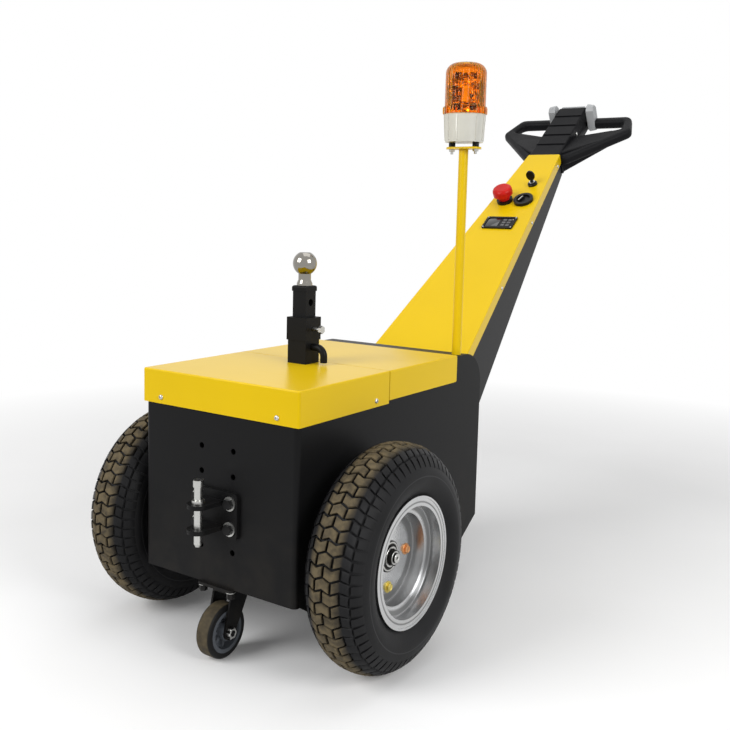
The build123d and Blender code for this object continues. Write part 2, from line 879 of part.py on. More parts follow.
with BuildPart() as tiller_head:
    with BuildSketch(head_plane):
        with BuildLine():
            grip_outline = FilletPolyline(
                (0, grip_length),
                (grip_end_half_width, grip_length),
                (grip_wide_half_width, grip_wide_at),
                (grip_root_half_width, 0),
                (0, 0),
                radius=grip_corner_radius,
            )
            Line(grip_outline @ 1, grip_outline @ 0)
        make_face()
        with BuildLine():
            FilletPolyline(
                (block_root_half_width, window_start),
                (block_root_half_width, bar_low),
                (grip_end_half_width - grip_bar_width / 2, bar_low),
                (window_outer_half_width, window_outer_at),
                radius=window_corner_radius,
                close=True,
            )
        make_face(mode=Mode.SUBTRACT)
        mirror(about=Plane.YZ)
    extrude(amount=grip_thickness / 2, both=True)
    grip_faces = tiller_head.faces().filter_by(Axis(head_origin, head_plane.z_dir))
    fillet(grip_faces.edges(), radius=grip_rounding)
    with BuildSketch(head_plane):
        with Locations((0, bar_middle)):
            Rectangle(2 * throttle_end, grip_bar_width + 2 * grip_rounding)
    extrude(amount=grip_thickness, both=True, mode=Mode.SUBTRACT)
    with BuildSketch(head_side):
        with Locations((bar_middle, 0)):
            Circle(throttle_neck_diameter / 2)
    extrude(amount=throttle_end + grip_rounding, both=True)
    add(head_wings.part)
    add(head_block.part)
    split(bisect_by=tip_plane, keep=Keep.TOP)
save(tiller_head, "tiller_head")

# Thumb throttles on the necks beside the block
for name, side in (("throttle_left", -1), ("throttle_right", 1)):
    with BuildPart() as throttle:
        with BuildSketch(head_side.offset(side * throttle_start)):
            with Locations((bar_middle, throttle_lift)):
                throttle_outline = Rectangle(throttle_width, throttle_length)
            chamfer(throttle_outline.vertices(), length=throttle_corner)
        extrude(amount=side * throttle_thickness, taper=throttle_taper)
        fillet(throttle.edges(), radius=throttle_rounding)
        with BuildSketch(head_side):
            with Locations((bar_middle, 0)):
                Circle(throttle_neck_diameter / 2 + throttle_clearance)
        extrude(amount=2 * throttle_end, both=True, mode=Mode.SUBTRACT)
    save(throttle, name)

# Reverse button on the block's end
with BuildPart() as reverse_button:
    button_origin = head_plane.from_local_coords((0, block_length, 0))
    button_plane = Plane(button_origin, x_dir=(1, 0, 0), z_dir=(0, cos(head_rise), sin(head_rise)))
    with BuildSketch(button_plane):
        with Locations((0, -button_low - button_height / 2)):
            RectangleRounded(button_width, button_height, button_rounding)
    extrude(amount=button_thickness)
    button_face = reverse_button.faces().sort_by(Axis(button_origin, button_plane.z_dir))[-1]
    fillet(button_face.edges(), radius=button_edge_radius)
save(reverse_button, "reverse_button")


# Controls stand square on the cover
def cover_spot(across, from_tip):
    y, z = cover_line(cover_length - from_tip, 0)
    return Plane((across, y, z), x_dir=(1, 0, 0), z_dir=(0, -sin(rise), cos(rise)))


stop_plane = cover_spot(stop_across, stop_from_tip)
with BuildPart() as stop_base:
    with BuildSketch(stop_plane):
        Circle(stop_base_diameter / 2)
    extrude(amount=stop_base_height)
save(stop_base, "stop_base")

# Mushroom button: a neck, a cone and a rounded head, turned in one piece
stop_cone_low = stop_height - stop_head_height - stop_cone_height
with BuildPart() as emergency_stop:
    with BuildSketch(Plane(stop_plane.origin, x_dir=(1, 0, 0), z_dir=-stop_plane.y_dir)):
        with BuildLine():
            Polyline(
                (0, stop_base_height),
                (stop_neck_diameter / 2, stop_base_height),
                (stop_neck_diameter / 2, stop_cone_low),
                (stop_head_diameter / 2, stop_height - stop_head_height),
            )
            FilletPolyline(
                (stop_head_diameter / 2, stop_height - stop_head_height),
                (stop_head_diameter / 2, stop_height),
                (0, stop_height),
                radius=stop_rounding,
            )
            Line((0, stop_height), (0, stop_base_height))
        make_face()
    revolve(axis=Axis(stop_plane.origin, stop_plane.z_dir))
save(emergency_stop, "emergency_stop")

with BuildPart() as charge_socket:
    socket_plane = cover_spot(socket_across, socket_from_tip)
    with BuildSketch(socket_plane):
        Circle(socket_diameter / 2)
    extrude(amount=socket_height)
    with BuildSketch(socket_plane.offset(socket_height)):
        Circle(socket_bore_diameter / 2)
    extrude(amount=-socket_bore_depth, mode=Mode.SUBTRACT)
save(charge_socket, "charge_socket")

# Key switch with its key standing in the barrel
with BuildPart() as key_switch:
    key_plane = cover_spot(key_across, key_from_tip)
    with BuildSketch(key_plane):
        Circle(key_diameter / 2)
    extrude(amount=key_height)
    chamfer(key_switch.edges().sort_by(Axis(key_plane.origin, key_plane.z_dir))[-1], length=key_chamfer)
    with BuildSketch(key_plane.offset(key_height)):
        Circle(key_barrel_diameter / 2)
    extrude(amount=key_barrel_height - key_height)
    with BuildSketch(key_plane.offset(key_barrel_height)):
        Rectangle(key_blade_width, key_bow_thickness / 2)
    extrude(amount=key_blade_height)
    key_bow_middle = key_barrel_height + key_blade_height - key_bow_sink + key_bow_height / 2
    with BuildSketch(Plane(key_plane.origin, x_dir=key_plane.x_dir, z_dir=-key_plane.y_dir)):
        with Locations((0, key_bow_middle)):
            Ellipse(key_bow_width / 2, key_bow_height / 2)
    extrude(amount=key_bow_thickness / 2, both=True)
save(key_switch, "key_switch")

with BuildPart() as display:
    display_plane = cover_spot(0, display_from_tip)
    with BuildSketch(display_plane):
        RectangleRounded(display_width, display_length, display_corner_radius)
    extrude(amount=display_height)
    with BuildSketch(display_plane.offset(display_height)):
        Rectangle(display_width - 2 * display_bezel, display_length - 2 * display_bezel)
    extrude(amount=-display_recess, mode=Mode.SUBTRACT)
save(display, "display")

# Beacon on a pole at the deck's corner
pole_y = axle_y + pole_from_axle
plate_top = pole_top_height + plate_thickness
base_low = plate_top + foot_height
base_high = base_low + beacon_base_height
pole_axis = Axis((pole_across, pole_y, 0), (0, 0, 1))
pole_side = Plane((pole_across, pole_y, 0), x_dir=(1, 0, 0), z_dir=(0, -1, 0))
with BuildPart() as beacon_pole:
    with BuildSketch(Plane((pole_across, pole_y, body_top_height))):
        Circle(pole_diameter / 2)
        Circle(pole_diameter / 2 - pole_wall, mode=Mode.SUBTRACT)
    extrude(amount=pole_top_height - body_top_height)
save(beacon_pole, "beacon_pole")

with BuildPart() as beacon_plate:
    with BuildSketch(Plane((pole_across, pole_y, pole_top_height))):
        SlotOverall(plate_length, plate_width)
    extrude(amount=plate_thickness)
save(beacon_plate, "beacon_plate")

with BuildPart() as beacon_feet:
    with BuildSketch(Plane((pole_across, pole_y, plate_top))):
        with GridLocations(foot_spacing, 0, 2, 1):
            Circle(foot_diameter / 2)
    extrude(amount=foot_height)
save(beacon_feet, "beacon_feet")

with BuildPart() as beacon_base:
    with BuildSketch(pole_side):
        with BuildLine():
            Polyline(
                (0, base_low),
                (beacon_base_diameter / 2, base_low),
                (beacon_base_top_diameter / 2, base_high),
                (0, base_high),
                close=True,
            )
        make_face()
    revolve(axis=pole_axis)
save(beacon_base, "beacon_base")

# Lens: a thin dome with a collar round its foot
with BuildPart() as beacon_lens:
    lens_top = base_high + lens_height
    lens_radius = lens_diameter / 2
    with BuildSketch(pole_side):
        with BuildLine():
            FilletPolyline(
                (0, lens_top),
                (lens_radius, lens_top),
                (lens_radius, base_high),
                radius=lens_shoulder_radius,
            )
            Line((lens_radius, base_high), (lens_radius - lens_wall, base_high))
            FilletPolyline(
                (lens_radius - lens_wall, base_high),
                (lens_radius - lens_wall, lens_top - lens_wall),
                (0, lens_top - lens_wall),
                radius=lens_shoulder_radius - lens_wall,
            )
            Line((0, lens_top - lens_wall), (0, lens_top))
        make_face()
        with BuildLine():
            Polyline(
                (lens_radius - lens_wall, base_high),
                (lens_collar_diameter / 2, base_high),
                (lens_collar_diameter / 2, base_high + lens_collar_height),
                (lens_radius - lens_wall, base_high + lens_collar_height),
                close=True,
            )
        make_face()
    revolve(axis=pole_axis)
save(beacon_lens, "beacon_lens")

# Reflector: half a cup on a spindle, open towards the lamp
with BuildPart() as beacon_reflector:
    with BuildSketch(Plane((pole_across, pole_y, base_high))):
        Circle(spindle_diameter / 2)
    extrude(amount=reflector_lift)
    with BuildSketch(Plane((pole_across, pole_y, base_high + reflector_lift))):
        Circle(reflector_diameter / 2)
    extrude(amount=reflector_wall)
    with BuildSketch(Plane((pole_across, pole_y, base_high + reflector_lift))):
        Circle(reflector_diameter / 2)
        Circle(reflector_diameter / 2 - reflector_wall, mode=Mode.SUBTRACT)
        with Locations((0, -reflector_diameter / 2 - reflector_cut)):
            Rectangle(reflector_diameter, reflector_diameter, mode=Mode.SUBTRACT)
    extrude(amount=reflector_height)
save(beacon_reflector, "beacon_reflector")

with BuildPart() as beacon_lamp:
    lamp_low = base_high + reflector_lift + reflector_wall
    with BuildSketch(Plane((pole_across, pole_y, lamp_low))):
        Circle(lamp_diameter / 2)
    extrude(amount=lamp_height)
    fillet(beacon_lamp.faces().sort_by(Axis.Z)[-1].edges(), radius=lamp_rounding)
save(beacon_lamp, "beacon_lamp")

# Castors: a fixed plate, a swivelling fork and a wheel, front and rear
castor_axle_height = castor_wheel_diameter / 2
plate_low = floor_height - castor_plate_thickness
race_low = plate_low - castor_race_height
crown_high = race_low - castor_race_gap
crown_low = crown_high - castor_crown_thickness
leg_inner = castor_wheel_width / 2 + castor_leg_gap
leg_outer = leg_inner + castor_leg_thickness
for end, castor_to_axle in (("front", front_castor_to_axle), ("rear", rear_castor_to_axle)):
    swivel_y = axle_y + castor_to_axle
    roll_y = swivel_y - castor_trail
    roll_axis = Axis((0, roll_y, castor_axle_height), (1, 0, 0))
    roll_plane = Plane((0, roll_y, castor_axle_height), x_dir=(1, 0, 0), z_dir=(0, -1, 0))

    with BuildPart() as castor_plate:
        with BuildSketch(Plane((0, swivel_y, plate_low))):
            RectangleRounded(castor_plate_width, castor_plate_length, castor_plate_radius)
        extrude(amount=castor_plate_thickness)
        with BuildSketch(Plane((0, swivel_y, plate_low))):
            Circle(castor_race_diameter / 2)
        extrude(amount=-castor_race_height)
        with BuildSketch(Plane((0, swivel_y, race_low))):
            Circle(castor_pin_diameter / 2)
        extrude(amount=-castor_race_gap - castor_crown_thickness - castor_pin_head_gap)
        with BuildSketch(Plane((0, swivel_y, crown_low - castor_pin_head_gap))):
            Circle(castor_pin_head_diameter / 2)
        extrude(amount=-castor_pin_head_height)
    save(castor_plate, f"{end}_castor_plate")

    with BuildPart() as castor_fork:
        with BuildSketch(Plane((0, swivel_y, crown_low))):
            RectangleRounded(2 * leg_outer, castor_crown_length, castor_crown_radius)
            Circle(castor_pin_diameter / 2 + running_clearance, mode=Mode.SUBTRACT)
        extrude(amount=castor_crown_thickness)
        for side in (-1, 1):
            with BuildSketch(Plane.YZ.offset(side * leg_inner)):
                with Locations((roll_y, castor_axle_height)):
                    Circle(castor_leg_tip_radius)
                with Locations((swivel_y, crown_low + castor_crown_thickness / 2)):
                    Rectangle(castor_leg_top_width, castor_crown_thickness)
                make_hull()
            extrude(amount=side * castor_leg_thickness)
            with BuildSketch(Plane((side * leg_outer, roll_y, castor_axle_height), z_dir=(side, 0, 0))):
                RegularPolygon(castor_nut_width / 2, 6, major_radius=False)
            extrude(amount=castor_nut_height)
        with BuildSketch(Plane.YZ):
            with Locations((roll_y, castor_axle_height)):
                Circle(castor_axle_diameter / 2)
        extrude(amount=leg_outer, both=True)
    save(castor_fork, f"{end}_castor_fork")

    with BuildPart() as castor_tread:
        with BuildSketch(roll_plane) as tread_profile:
            with Locations((0, castor_wheel_diameter / 2 - castor_tread_thickness / 2)):
                Rectangle(castor_wheel_width, castor_tread_thickness)
            fillet(tread_profile.vertices().group_by(Axis.Y)[-1], radius=castor_tread_rounding)
        revolve(axis=roll_axis)
    save(castor_tread, f"{end}_castor_tread")

    with BuildPart() as castor_core:
        hub_half = leg_inner - castor_hub_gap
        hub_radius = castor_hub_diameter / 2
        bore_radius = castor_axle_diameter / 2 + running_clearance
        core_radius = castor_wheel_diameter / 2 - castor_tread_thickness - tread_fit
        rim_radius = core_radius - castor_rim_thickness
        with BuildSketch(roll_plane):
            with Locations((0, (core_radius + rim_radius) / 2)):
                Rectangle(castor_wheel_width, castor_rim_thickness)
            with Locations((0, (core_radius + bore_radius) / 2)):
                Rectangle(castor_web_thickness, core_radius - bore_radius)
            with Locations((0, (hub_radius + bore_radius) / 2)):
                Rectangle(2 * hub_half, hub_radius - bore_radius)
        revolve(axis=roll_axis)
        with BuildSketch(Plane.YZ):
            with Locations((roll_y, castor_axle_height)):
                Circle(rim_radius)
                Circle(hub_radius, mode=Mode.SUBTRACT)
                with PolarLocations((rim_radius + hub_radius) / 2, castor_spokes):
                    Rectangle(rim_radius, castor_spoke_width, mode=Mode.SUBTRACT)
        extrude(amount=castor_wheel_width, both=True, mode=Mode.SUBTRACT)
    save(castor_core, f"{end}_castor_core")

# Drive unit: gearbox block on the floor, axle tube out through both sides
tube_end = half_body + axle_tube_reach
shaft_tip = tube_end - shaft_engagement
with BuildPart() as drive_unit:
    with BuildSketch(Plane((0, axle_y, floor_top))):
        Rectangle(gearbox_length, gearbox_depth)
    extrude(amount=axle_height - floor_top + gearbox_height / 2)
    with BuildSketch(Plane.YZ):
        with Locations((axle_y, axle_height)):
            Circle(axle_tube_diameter / 2)
    extrude(amount=tube_end, both=True)
    for side in (-1, 1):
        with BuildSketch(Plane.YZ.offset(side * inner_half)):
            with Locations((axle_y, axle_height)):
                RectangleRounded(axle_flange_width, axle_flange_width, axle_flange_radius)
        extrude(amount=-side * axle_flange_thickness)
        with BuildSketch(Plane.YZ.offset(side * tube_end)):
            with Locations((axle_y, axle_height)):
                Circle(shaft_diameter / 2 + running_clearance)
        extrude(amount=-side * (shaft_engagement + shaft_end_room), mode=Mode.SUBTRACT)
save(drive_unit, "drive_unit")

# Battery block behind the hitch post
with BuildPart() as battery_pack:
    with BuildSketch(Plane((0, axle_y + battery_to_axle, floor_top))):
        RectangleRounded(battery_width, battery_depth, battery_corner_radius)
    extrude(amount=battery_height)
save(battery_pack, "battery_pack")

# Drive wheels: tyre, drop-centre rim with a dished disc, and hub with its shaft
half_rim = rim_width / 2
seat_radius = rim_seat_diameter / 2
flange_radius = rim_flange_diameter / 2
well_radius = rim_well_diameter / 2
half_well = rim_well_width / 2
flange_wall = half_rim - rim_flange_lip
seat_inner = flange_wall - rim_seat_width
# One cross bar of the tread, lying along the wheel's axis
lug_length = 2 * pi * tyre_radius / lug_count - lug_groove
lug_sink = lug_depth + tyre_wall / 2
lug_top = [
    (tyre_radius - lug_end_drop, -lug_end_width / 2),
    (tyre_radius - lug_knee_drop, -lug_knee_width / 2),
    (tyre_radius, -lug_flat_width / 2),
    (tyre_radius, lug_flat_width / 2),
    (tyre_radius - lug_knee_drop, lug_knee_width / 2),
    (tyre_radius - lug_end_drop, lug_end_width / 2),
]
lug_foot = [(radius - lug_sink, across) for radius, across in lug_top]
with BuildPart() as tread_lug:
    with BuildSketch(Plane.XZ):
        with BuildLine():
            Polyline(*lug_top, *reversed(lug_foot), close=True)
        make_face()
    extrude(amount=lug_length / 2, both=True)

for name, side in (("left", -1), ("right", 1)):
    wheel_centre = (side * half_track, axle_y, axle_height)
    wheel_plane = Plane(wheel_centre, x_dir=(side, 0, 0), z_dir=(0, -side, 0))
    wheel_axis = Axis(wheel_centre, (1, 0, 0))

    with BuildPart() as tyre:
        bead_foot = seat_radius + bead_clearance
        bead_top = flange_radius + bead_clearance
        bead_side = flange_wall - bead_clearance
        half_tyre = tyre_width / 2
        half_shoulder = tyre_shoulder_width / 2
        shoulder = crown_radius - tyre_shoulder_drop
        belly = (shoulder + bead_top) / 2
        with BuildSketch(wheel_plane):
            with BuildLine():
                Polyline((bead_side - tyre_wall, bead_foot), (bead_side, bead_foot), (bead_side, bead_top))
                ThreePointArc((bead_side, bead_top), (half_tyre, belly), (half_shoulder, shoulder))
                ThreePointArc((half_shoulder, shoulder), (0, crown_radius), (-half_shoulder, shoulder))
                ThreePointArc((-half_shoulder, shoulder), (-half_tyre, belly), (-bead_side, bead_top))
                Polyline(
                    (-bead_side, bead_top),
                    (-bead_side, bead_foot),
                    (tyre_wall - bead_side, bead_foot),
                    (tyre_wall - bead_side, bead_top),
                )
                ThreePointArc(
                    (tyre_wall - bead_side, bead_top),
                    (tyre_wall - half_tyre, belly),
                    (tyre_wall - half_shoulder, shoulder - tyre_wall),
                )
                ThreePointArc(
                    (tyre_wall - half_shoulder, shoulder - tyre_wall),
                    (0, crown_radius - tyre_wall),
                    (half_shoulder - tyre_wall, shoulder - tyre_wall),
                )
                ThreePointArc(
                    (half_shoulder - tyre_wall, shoulder - tyre_wall),
                    (half_tyre - tyre_wall, belly),
                    (bead_side - tyre_wall, bead_top),
                )
                Line((bead_side - tyre_wall, bead_top), (bead_side - tyre_wall, bead_foot))
            make_face()
        revolve(axis=wheel_axis)
        with Locations(Plane(wheel_centre, x_dir=(0, 1, 0), z_dir=(1, 0, 0))):
            with PolarLocations(0, lug_count):
                add(tread_lug.part)
    save(tyre, f"tyre_{name}")

    with BuildPart() as rim:
        outside = [
            (half_rim, flange_radius),
            (flange_wall, flange_radius),
            (flange_wall, seat_radius),
            (seat_inner, seat_radius),
            (half_well, well_radius),
        ]
        inside = [
            (half_rim, flange_radius - rim_sheet),
            (flange_wall + rim_sheet, flange_radius - rim_sheet),
            (flange_wall + rim_sheet, seat_radius - rim_sheet),
            (seat_inner, seat_radius - rim_sheet),
            (half_well, well_radius - rim_sheet),
        ]
        with BuildSketch(wheel_plane):
            with BuildLine():
                Polyline(
                    *outside,
                    *[(-across, radius) for across, radius in reversed(outside)],
                    *[(-across, radius) for across, radius in inside],
                    *reversed(inside),
                    close=True,
                )
            make_face()
            disc_low = hub_nose_diameter / 2 + hub_nose_clearance
            disc_high = well_radius - rim_sheet / 2
            with Locations((rim_disc_offset + rim_disc_thickness / 2, (disc_low + disc_high) / 2)):
                Rectangle(rim_disc_thickness, disc_high - disc_low)
        revolve(axis=wheel_axis)
    save(rim, f"rim_{name}")

    with BuildPart() as hub:
        flange_back = rim_disc_offset - hub_flange_thickness
        barrel_back = flange_back - hub_barrel_length
        nose_end = rim_disc_offset + hub_nose_height
        washer_end = nose_end + hub_washer_thickness
        nut_end = washer_end + hub_nut_height
        with BuildSketch(wheel_plane):
            with BuildLine():
                Polyline(
                    (shaft_tip - half_track, 0),
                    (shaft_tip - half_track, shaft_diameter / 2),
                    (barrel_back, shaft_diameter / 2),
                    (barrel_back, hub_barrel_diameter / 2),
                    (flange_back, hub_barrel_diameter / 2),
                    (flange_back, hub_flange_diameter / 2),
                    (rim_disc_offset, hub_flange_diameter / 2),
                    (rim_disc_offset, hub_nose_diameter / 2),
                    (nose_end, hub_nose_diameter / 2),
                    (nose_end, hub_washer_diameter / 2),
                    (washer_end, hub_washer_diameter / 2),
                    (washer_end, shaft_end_diameter / 2),
                    (nut_end + shaft_end_length, shaft_end_diameter / 2),
                    (nut_end + shaft_end_length, 0),
                    close=True,
                )
            make_face()
        revolve(axis=wheel_axis)
        nut_centre = (side * (half_track + washer_end), axle_y, axle_height)
        with BuildSketch(Plane(nut_centre, z_dir=(side, 0, 0))):
            RegularPolygon(hub_nut_width / 2, 6, major_radius=False)
        extrude(amount=hub_nut_height)
    save(hub, f"hub_{name}")
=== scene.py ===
import json
from math import atan2, cos, pi, radians, sin

import bpy
from mathutils import Matrix, Vector


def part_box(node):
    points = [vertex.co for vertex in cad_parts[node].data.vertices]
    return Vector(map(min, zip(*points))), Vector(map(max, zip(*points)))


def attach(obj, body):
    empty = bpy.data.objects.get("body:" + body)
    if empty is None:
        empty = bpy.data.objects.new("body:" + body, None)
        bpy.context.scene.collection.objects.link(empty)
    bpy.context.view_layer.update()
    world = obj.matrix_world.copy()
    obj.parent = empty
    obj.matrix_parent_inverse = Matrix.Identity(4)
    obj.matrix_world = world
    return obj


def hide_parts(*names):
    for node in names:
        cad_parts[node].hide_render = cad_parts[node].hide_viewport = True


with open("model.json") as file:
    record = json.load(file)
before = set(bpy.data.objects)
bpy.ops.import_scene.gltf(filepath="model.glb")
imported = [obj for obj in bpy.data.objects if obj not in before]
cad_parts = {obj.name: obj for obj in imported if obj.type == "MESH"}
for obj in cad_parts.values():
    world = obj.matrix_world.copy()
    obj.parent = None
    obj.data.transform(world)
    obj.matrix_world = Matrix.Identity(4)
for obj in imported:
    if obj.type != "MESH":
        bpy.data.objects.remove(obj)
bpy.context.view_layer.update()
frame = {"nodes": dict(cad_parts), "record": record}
print("stage: frame loaded")


# where things are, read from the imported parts
def middleOf(node):
    low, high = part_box(node)
    return (Vector(low) + Vector(high)) / 2


def sizeOf(node):
    low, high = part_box(node)
    return Vector(high) - Vector(low)


axle = middleOf("tyre_right")
tyreRadius = sizeOf("tyre_right").z / 2


# small hand tools
def clearSelection():
    if bpy.context.object and bpy.context.object.mode != "OBJECT":
        bpy.ops.object.mode_set(mode="OBJECT")
    bpy.ops.object.select_all(action="DESELECT")


def grab(obj):
    clearSelection()
    obj.select_set(True)
    bpy.context.view_layer.objects.active = obj


def pick(obj, kind, test):  # kind is FACE, EDGE or VERT, and test reads one element
    bpy.ops.object.mode_set(mode="EDIT")
    bpy.ops.mesh.select_mode(type=kind)
    bpy.ops.mesh.select_all(action="DESELECT")
    bpy.ops.object.mode_set(mode="OBJECT")
    mesh = obj.data
    for element in {"FACE": mesh.polygons, "EDGE": mesh.edges, "VERT": mesh.vertices}[kind]:
        element.select = test(element)
    bpy.ops.object.mode_set(mode="EDIT")


def closeUp():  # merge the active piece's doubles and point its faces outwards
    bpy.ops.object.mode_set(mode="EDIT")
    bpy.ops.mesh.select_all(action="SELECT")
    bpy.ops.mesh.remove_doubles(threshold=0.00001)
    bpy.ops.mesh.normals_make_consistent(inside=False)
    bpy.ops.object.mode_set(mode="OBJECT")


def turnUp(name, segments, steps):  # a turned piece on +Z from (radius, height) steps
    clearSelection()
    firstRadius, firstHeight = steps[0]
    bpy.ops.mesh.primitive_circle_add(
        vertices=segments, radius=firstRadius, fill_type="NGON", location=(0, 0, firstHeight)
    )
    obj = bpy.context.object
    obj.name = name
    bpy.ops.object.transform_apply(location=True, rotation=True, scale=True)
    bpy.ops.object.mode_set(mode="EDIT")
    bpy.ops.mesh.select_all(action="SELECT")
    for (radius, height), (nextRadius, nextHeight) in zip(steps, steps[1:]):
        bpy.ops.mesh.extrude_region_move(TRANSFORM_OT_translate={"value": (0, 0, nextHeight - height)})
        ratio = nextRadius / radius
        bpy.ops.transform.resize(value=(ratio, ratio, 1), center_override=(0, 0, nextHeight))
    closeUp()
    return obj


def joinAll(pieces, name):  # set the pieces where they stand and make them one
    clearSelection()
    for piece in pieces:
        piece.select_set(True)
    bpy.context.view_layer.objects.active = pieces[0]
    bpy.ops.object.transform_apply(location=True, rotation=True, scale=True)
    if len(pieces) > 1:
        bpy.ops.object.join()
    obj = bpy.context.object
    obj.name = name
    return obj


def copiesOf(master, count):  # the master goes once its copies are made
    copies = []
    for _ in range(count):
        grab(master)
        bpy.ops.object.duplicate()
        copies.append(bpy.context.object)
    bpy.data.objects.remove(master)
    return copies


def stamp(master, places, name):  # a copy of the master at each (spot, facing), joined
    copies = copiesOf(master, len(places))
    for copy, (spot, facing) in zip(copies, places):
        copy.rotation_euler = Vector(facing).to_track_quat("Z", "Y").to_euler()
        copy.location = spot
    return joinAll(copies, name)


def scatter(master, matrices, name):  # a copy of the master under each matrix, joined
    copies = copiesOf(master, len(matrices))
    for copy, matrix in zip(copies, matrices):
        copy.matrix_world = matrix
    return joinAll(copies, name)


def facesUp(face):
    return face.normal.z > 0.9


def slab(name, width, length, height, edge):  # a low plate on z = 0 with softened edges
    clearSelection()
    bpy.ops.mesh.primitive_cube_add(size=1, location=(0, 0, height / 2))
    obj = bpy.context.object
    obj.name = name
    obj.scale = (width, length, height)
    bpy.ops.object.transform_apply(location=True, rotation=True, scale=True)
    pick(obj, "FACE", facesUp)
    bpy.ops.mesh.bevel(offset=edge, segments=2, affect="EDGES")
    bpy.ops.object.mode_set(mode="OBJECT")
    return obj


def ringPiece(name, outer, inner, height, edge=0.0004):  # a flat ring that stands on z = 0
    steps = [
        (outer, -edge), (outer, height - edge), (outer - edge, height),
        (inner + edge, height), (inner, height - edge), (inner, -edge),
    ]
    return turnUp(name, segments=40, steps=steps)


def shaped(shares, radius, height):  # turning steps from shares of a radius and a height
    return [(radius * wide, height * tall) for wide, tall in shares]


def spinUp(section, fill, steps, angle, axis):  # a closed section turned about an axis at the origin
    clearSelection()
    bpy.ops.mesh.primitive_circle_add(vertices=len(section), fill_type=fill)
    obj = bpy.context.object
    for vertex, spot in zip(obj.data.vertices, section):
        vertex.co = spot
    bpy.ops.object.mode_set(mode="EDIT")
    bpy.ops.mesh.select_all(action="SELECT")
    bpy.ops.mesh.spin(steps=steps, angle=angle, center=(0, 0, 0), axis=axis)
    closeUp()
    return obj


def meet(node, start, toward):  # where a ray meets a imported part, and the normal there
    found, spot, normal = frame["nodes"][node].ray_cast(start, Vector(toward))[:3]
    return (spot, normal) if found else None


def settle(obj, body, material, smooth=35):  # last step of every piece
    grab(obj)
    bpy.ops.object.transform_apply(location=True, rotation=True, scale=True)
    bpy.ops.object.shade_smooth_by_angle(angle=radians(smooth))
    obj.data.name = obj.name
    obj.data.materials.clear()
    obj.data.materials.append(material)
    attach(obj, body)


def fitOn(master, matrices, name, material):  # copies laid out on the chassis
    settle(scatter(master, matrices, name), "chassis", material)


# shader node groups
def startGroup(name, inputs, outputs):
    group = bpy.data.node_groups.new(name, "ShaderNodeTree")
    for label, kind, value in inputs:
        socket = group.interface.new_socket(label, in_out="INPUT", socket_type=kind)
        if value is not None:
            socket.default_value = value
    for label, kind in outputs:
        group.interface.new_socket(label, in_out="OUTPUT", socket_type=kind)
    entry = group.nodes.new("NodeGroupInput")
    leave = group.nodes.new("NodeGroupOutput")
    return group, entry, leave


def addNode(tree, kind, **settings):
    node = tree.nodes.new(kind)
    for key, value in settings.items():
        setattr(node, key, value)
    return node


def mathNode(tree, operation, first, second=None, clamp=False):
    node = addNode(tree, "ShaderNodeMath", operation=operation, use_clamp=clamp)
    for socket, value in zip(node.inputs, (first, second)):
        if value is None:
            continue
        if isinstance(value, (int, float)):
            socket.default_value = value
        else:
            tree.links.new(value, socket)
    return node.outputs[0]


def rangeNode(tree, value, low, high, toLow=0.0, toHigh=1.0):
    node = addNode(tree, "ShaderNodeMapRange")
    tree.links.new(value, node.inputs["Value"])
    for label, setting in (("From Min", low), ("From Max", high), ("To Min", toLow), ("To Max", toHigh)):
        if isinstance(setting, (int, float)):
            node.inputs[label].default_value = setting
        else:
            tree.links.new(setting, node.inputs[label])
    return node.outputs["Result"]


def makePaintSkin():  # the soft ripple of sprayed powder and its faint change of tone
    group, entry, leave = startGroup(
        "paintSkin",
        [("Vector", "NodeSocketVector", None), ("Ripple", "NodeSocketFloat", 140.0)],
        [("Height", "NodeSocketFloat"), ("Tone", "NodeSocketFloat")],
    )
    ripple = addNode(group, "ShaderNodeTexNoise")
    ripple.inputs["Detail"].default_value = 1.0
    group.links.new(entry.outputs["Vector"], ripple.inputs["Vector"])
    group.links.new(entry.outputs["Ripple"], ripple.inputs["Scale"])
    tone = addNode(group, "ShaderNodeTexNoise")
    tone.inputs["Scale"].default_value = 3.2
    tone.inputs["Detail"].default_value = 3.0
    group.links.new(entry.outputs["Vector"], tone.inputs["Vector"])
    group.links.new(ripple.outputs["Fac"], leave.inputs["Height"])
    group.links.new(rangeNode(group, tone.outputs["Fac"], 0.3, 0.7), leave.inputs["Tone"])
    return group


def makeShopDust():  # dust that lies thickest near the floor
    group, entry, leave = startGroup(
        "shopDust",
        [
            ("Vector", "NodeSocketVector", None),
            ("Reach", "NodeSocketFloat", 0.3),
            ("Amount", "NodeSocketFloat", 0.3),
        ],
        [("Dust", "NodeSocketFloat")],
    )
    split = addNode(group, "ShaderNodeSeparateXYZ")
    group.links.new(entry.outputs["Vector"], split.inputs[0])
    fade = rangeNode(group, split.outputs["Z"], entry.outputs["Reach"], 0.0)
    cloud = addNode(group, "ShaderNodeTexNoise")
    cloud.inputs["Scale"].default_value = 26.0
    cloud.inputs["Detail"].default_value = 6.0
    group.links.new(entry.outputs["Vector"], cloud.inputs["Vector"])
    patch = rangeNode(group, cloud.outputs["Fac"], 0.36, 0.72)
    mixed = mathNode(group, "MULTIPLY", fade, patch)
    group.links.new(mathNode(group, "MULTIPLY", mixed, entry.outputs["Amount"], True), leave.inputs["Dust"])
    return group


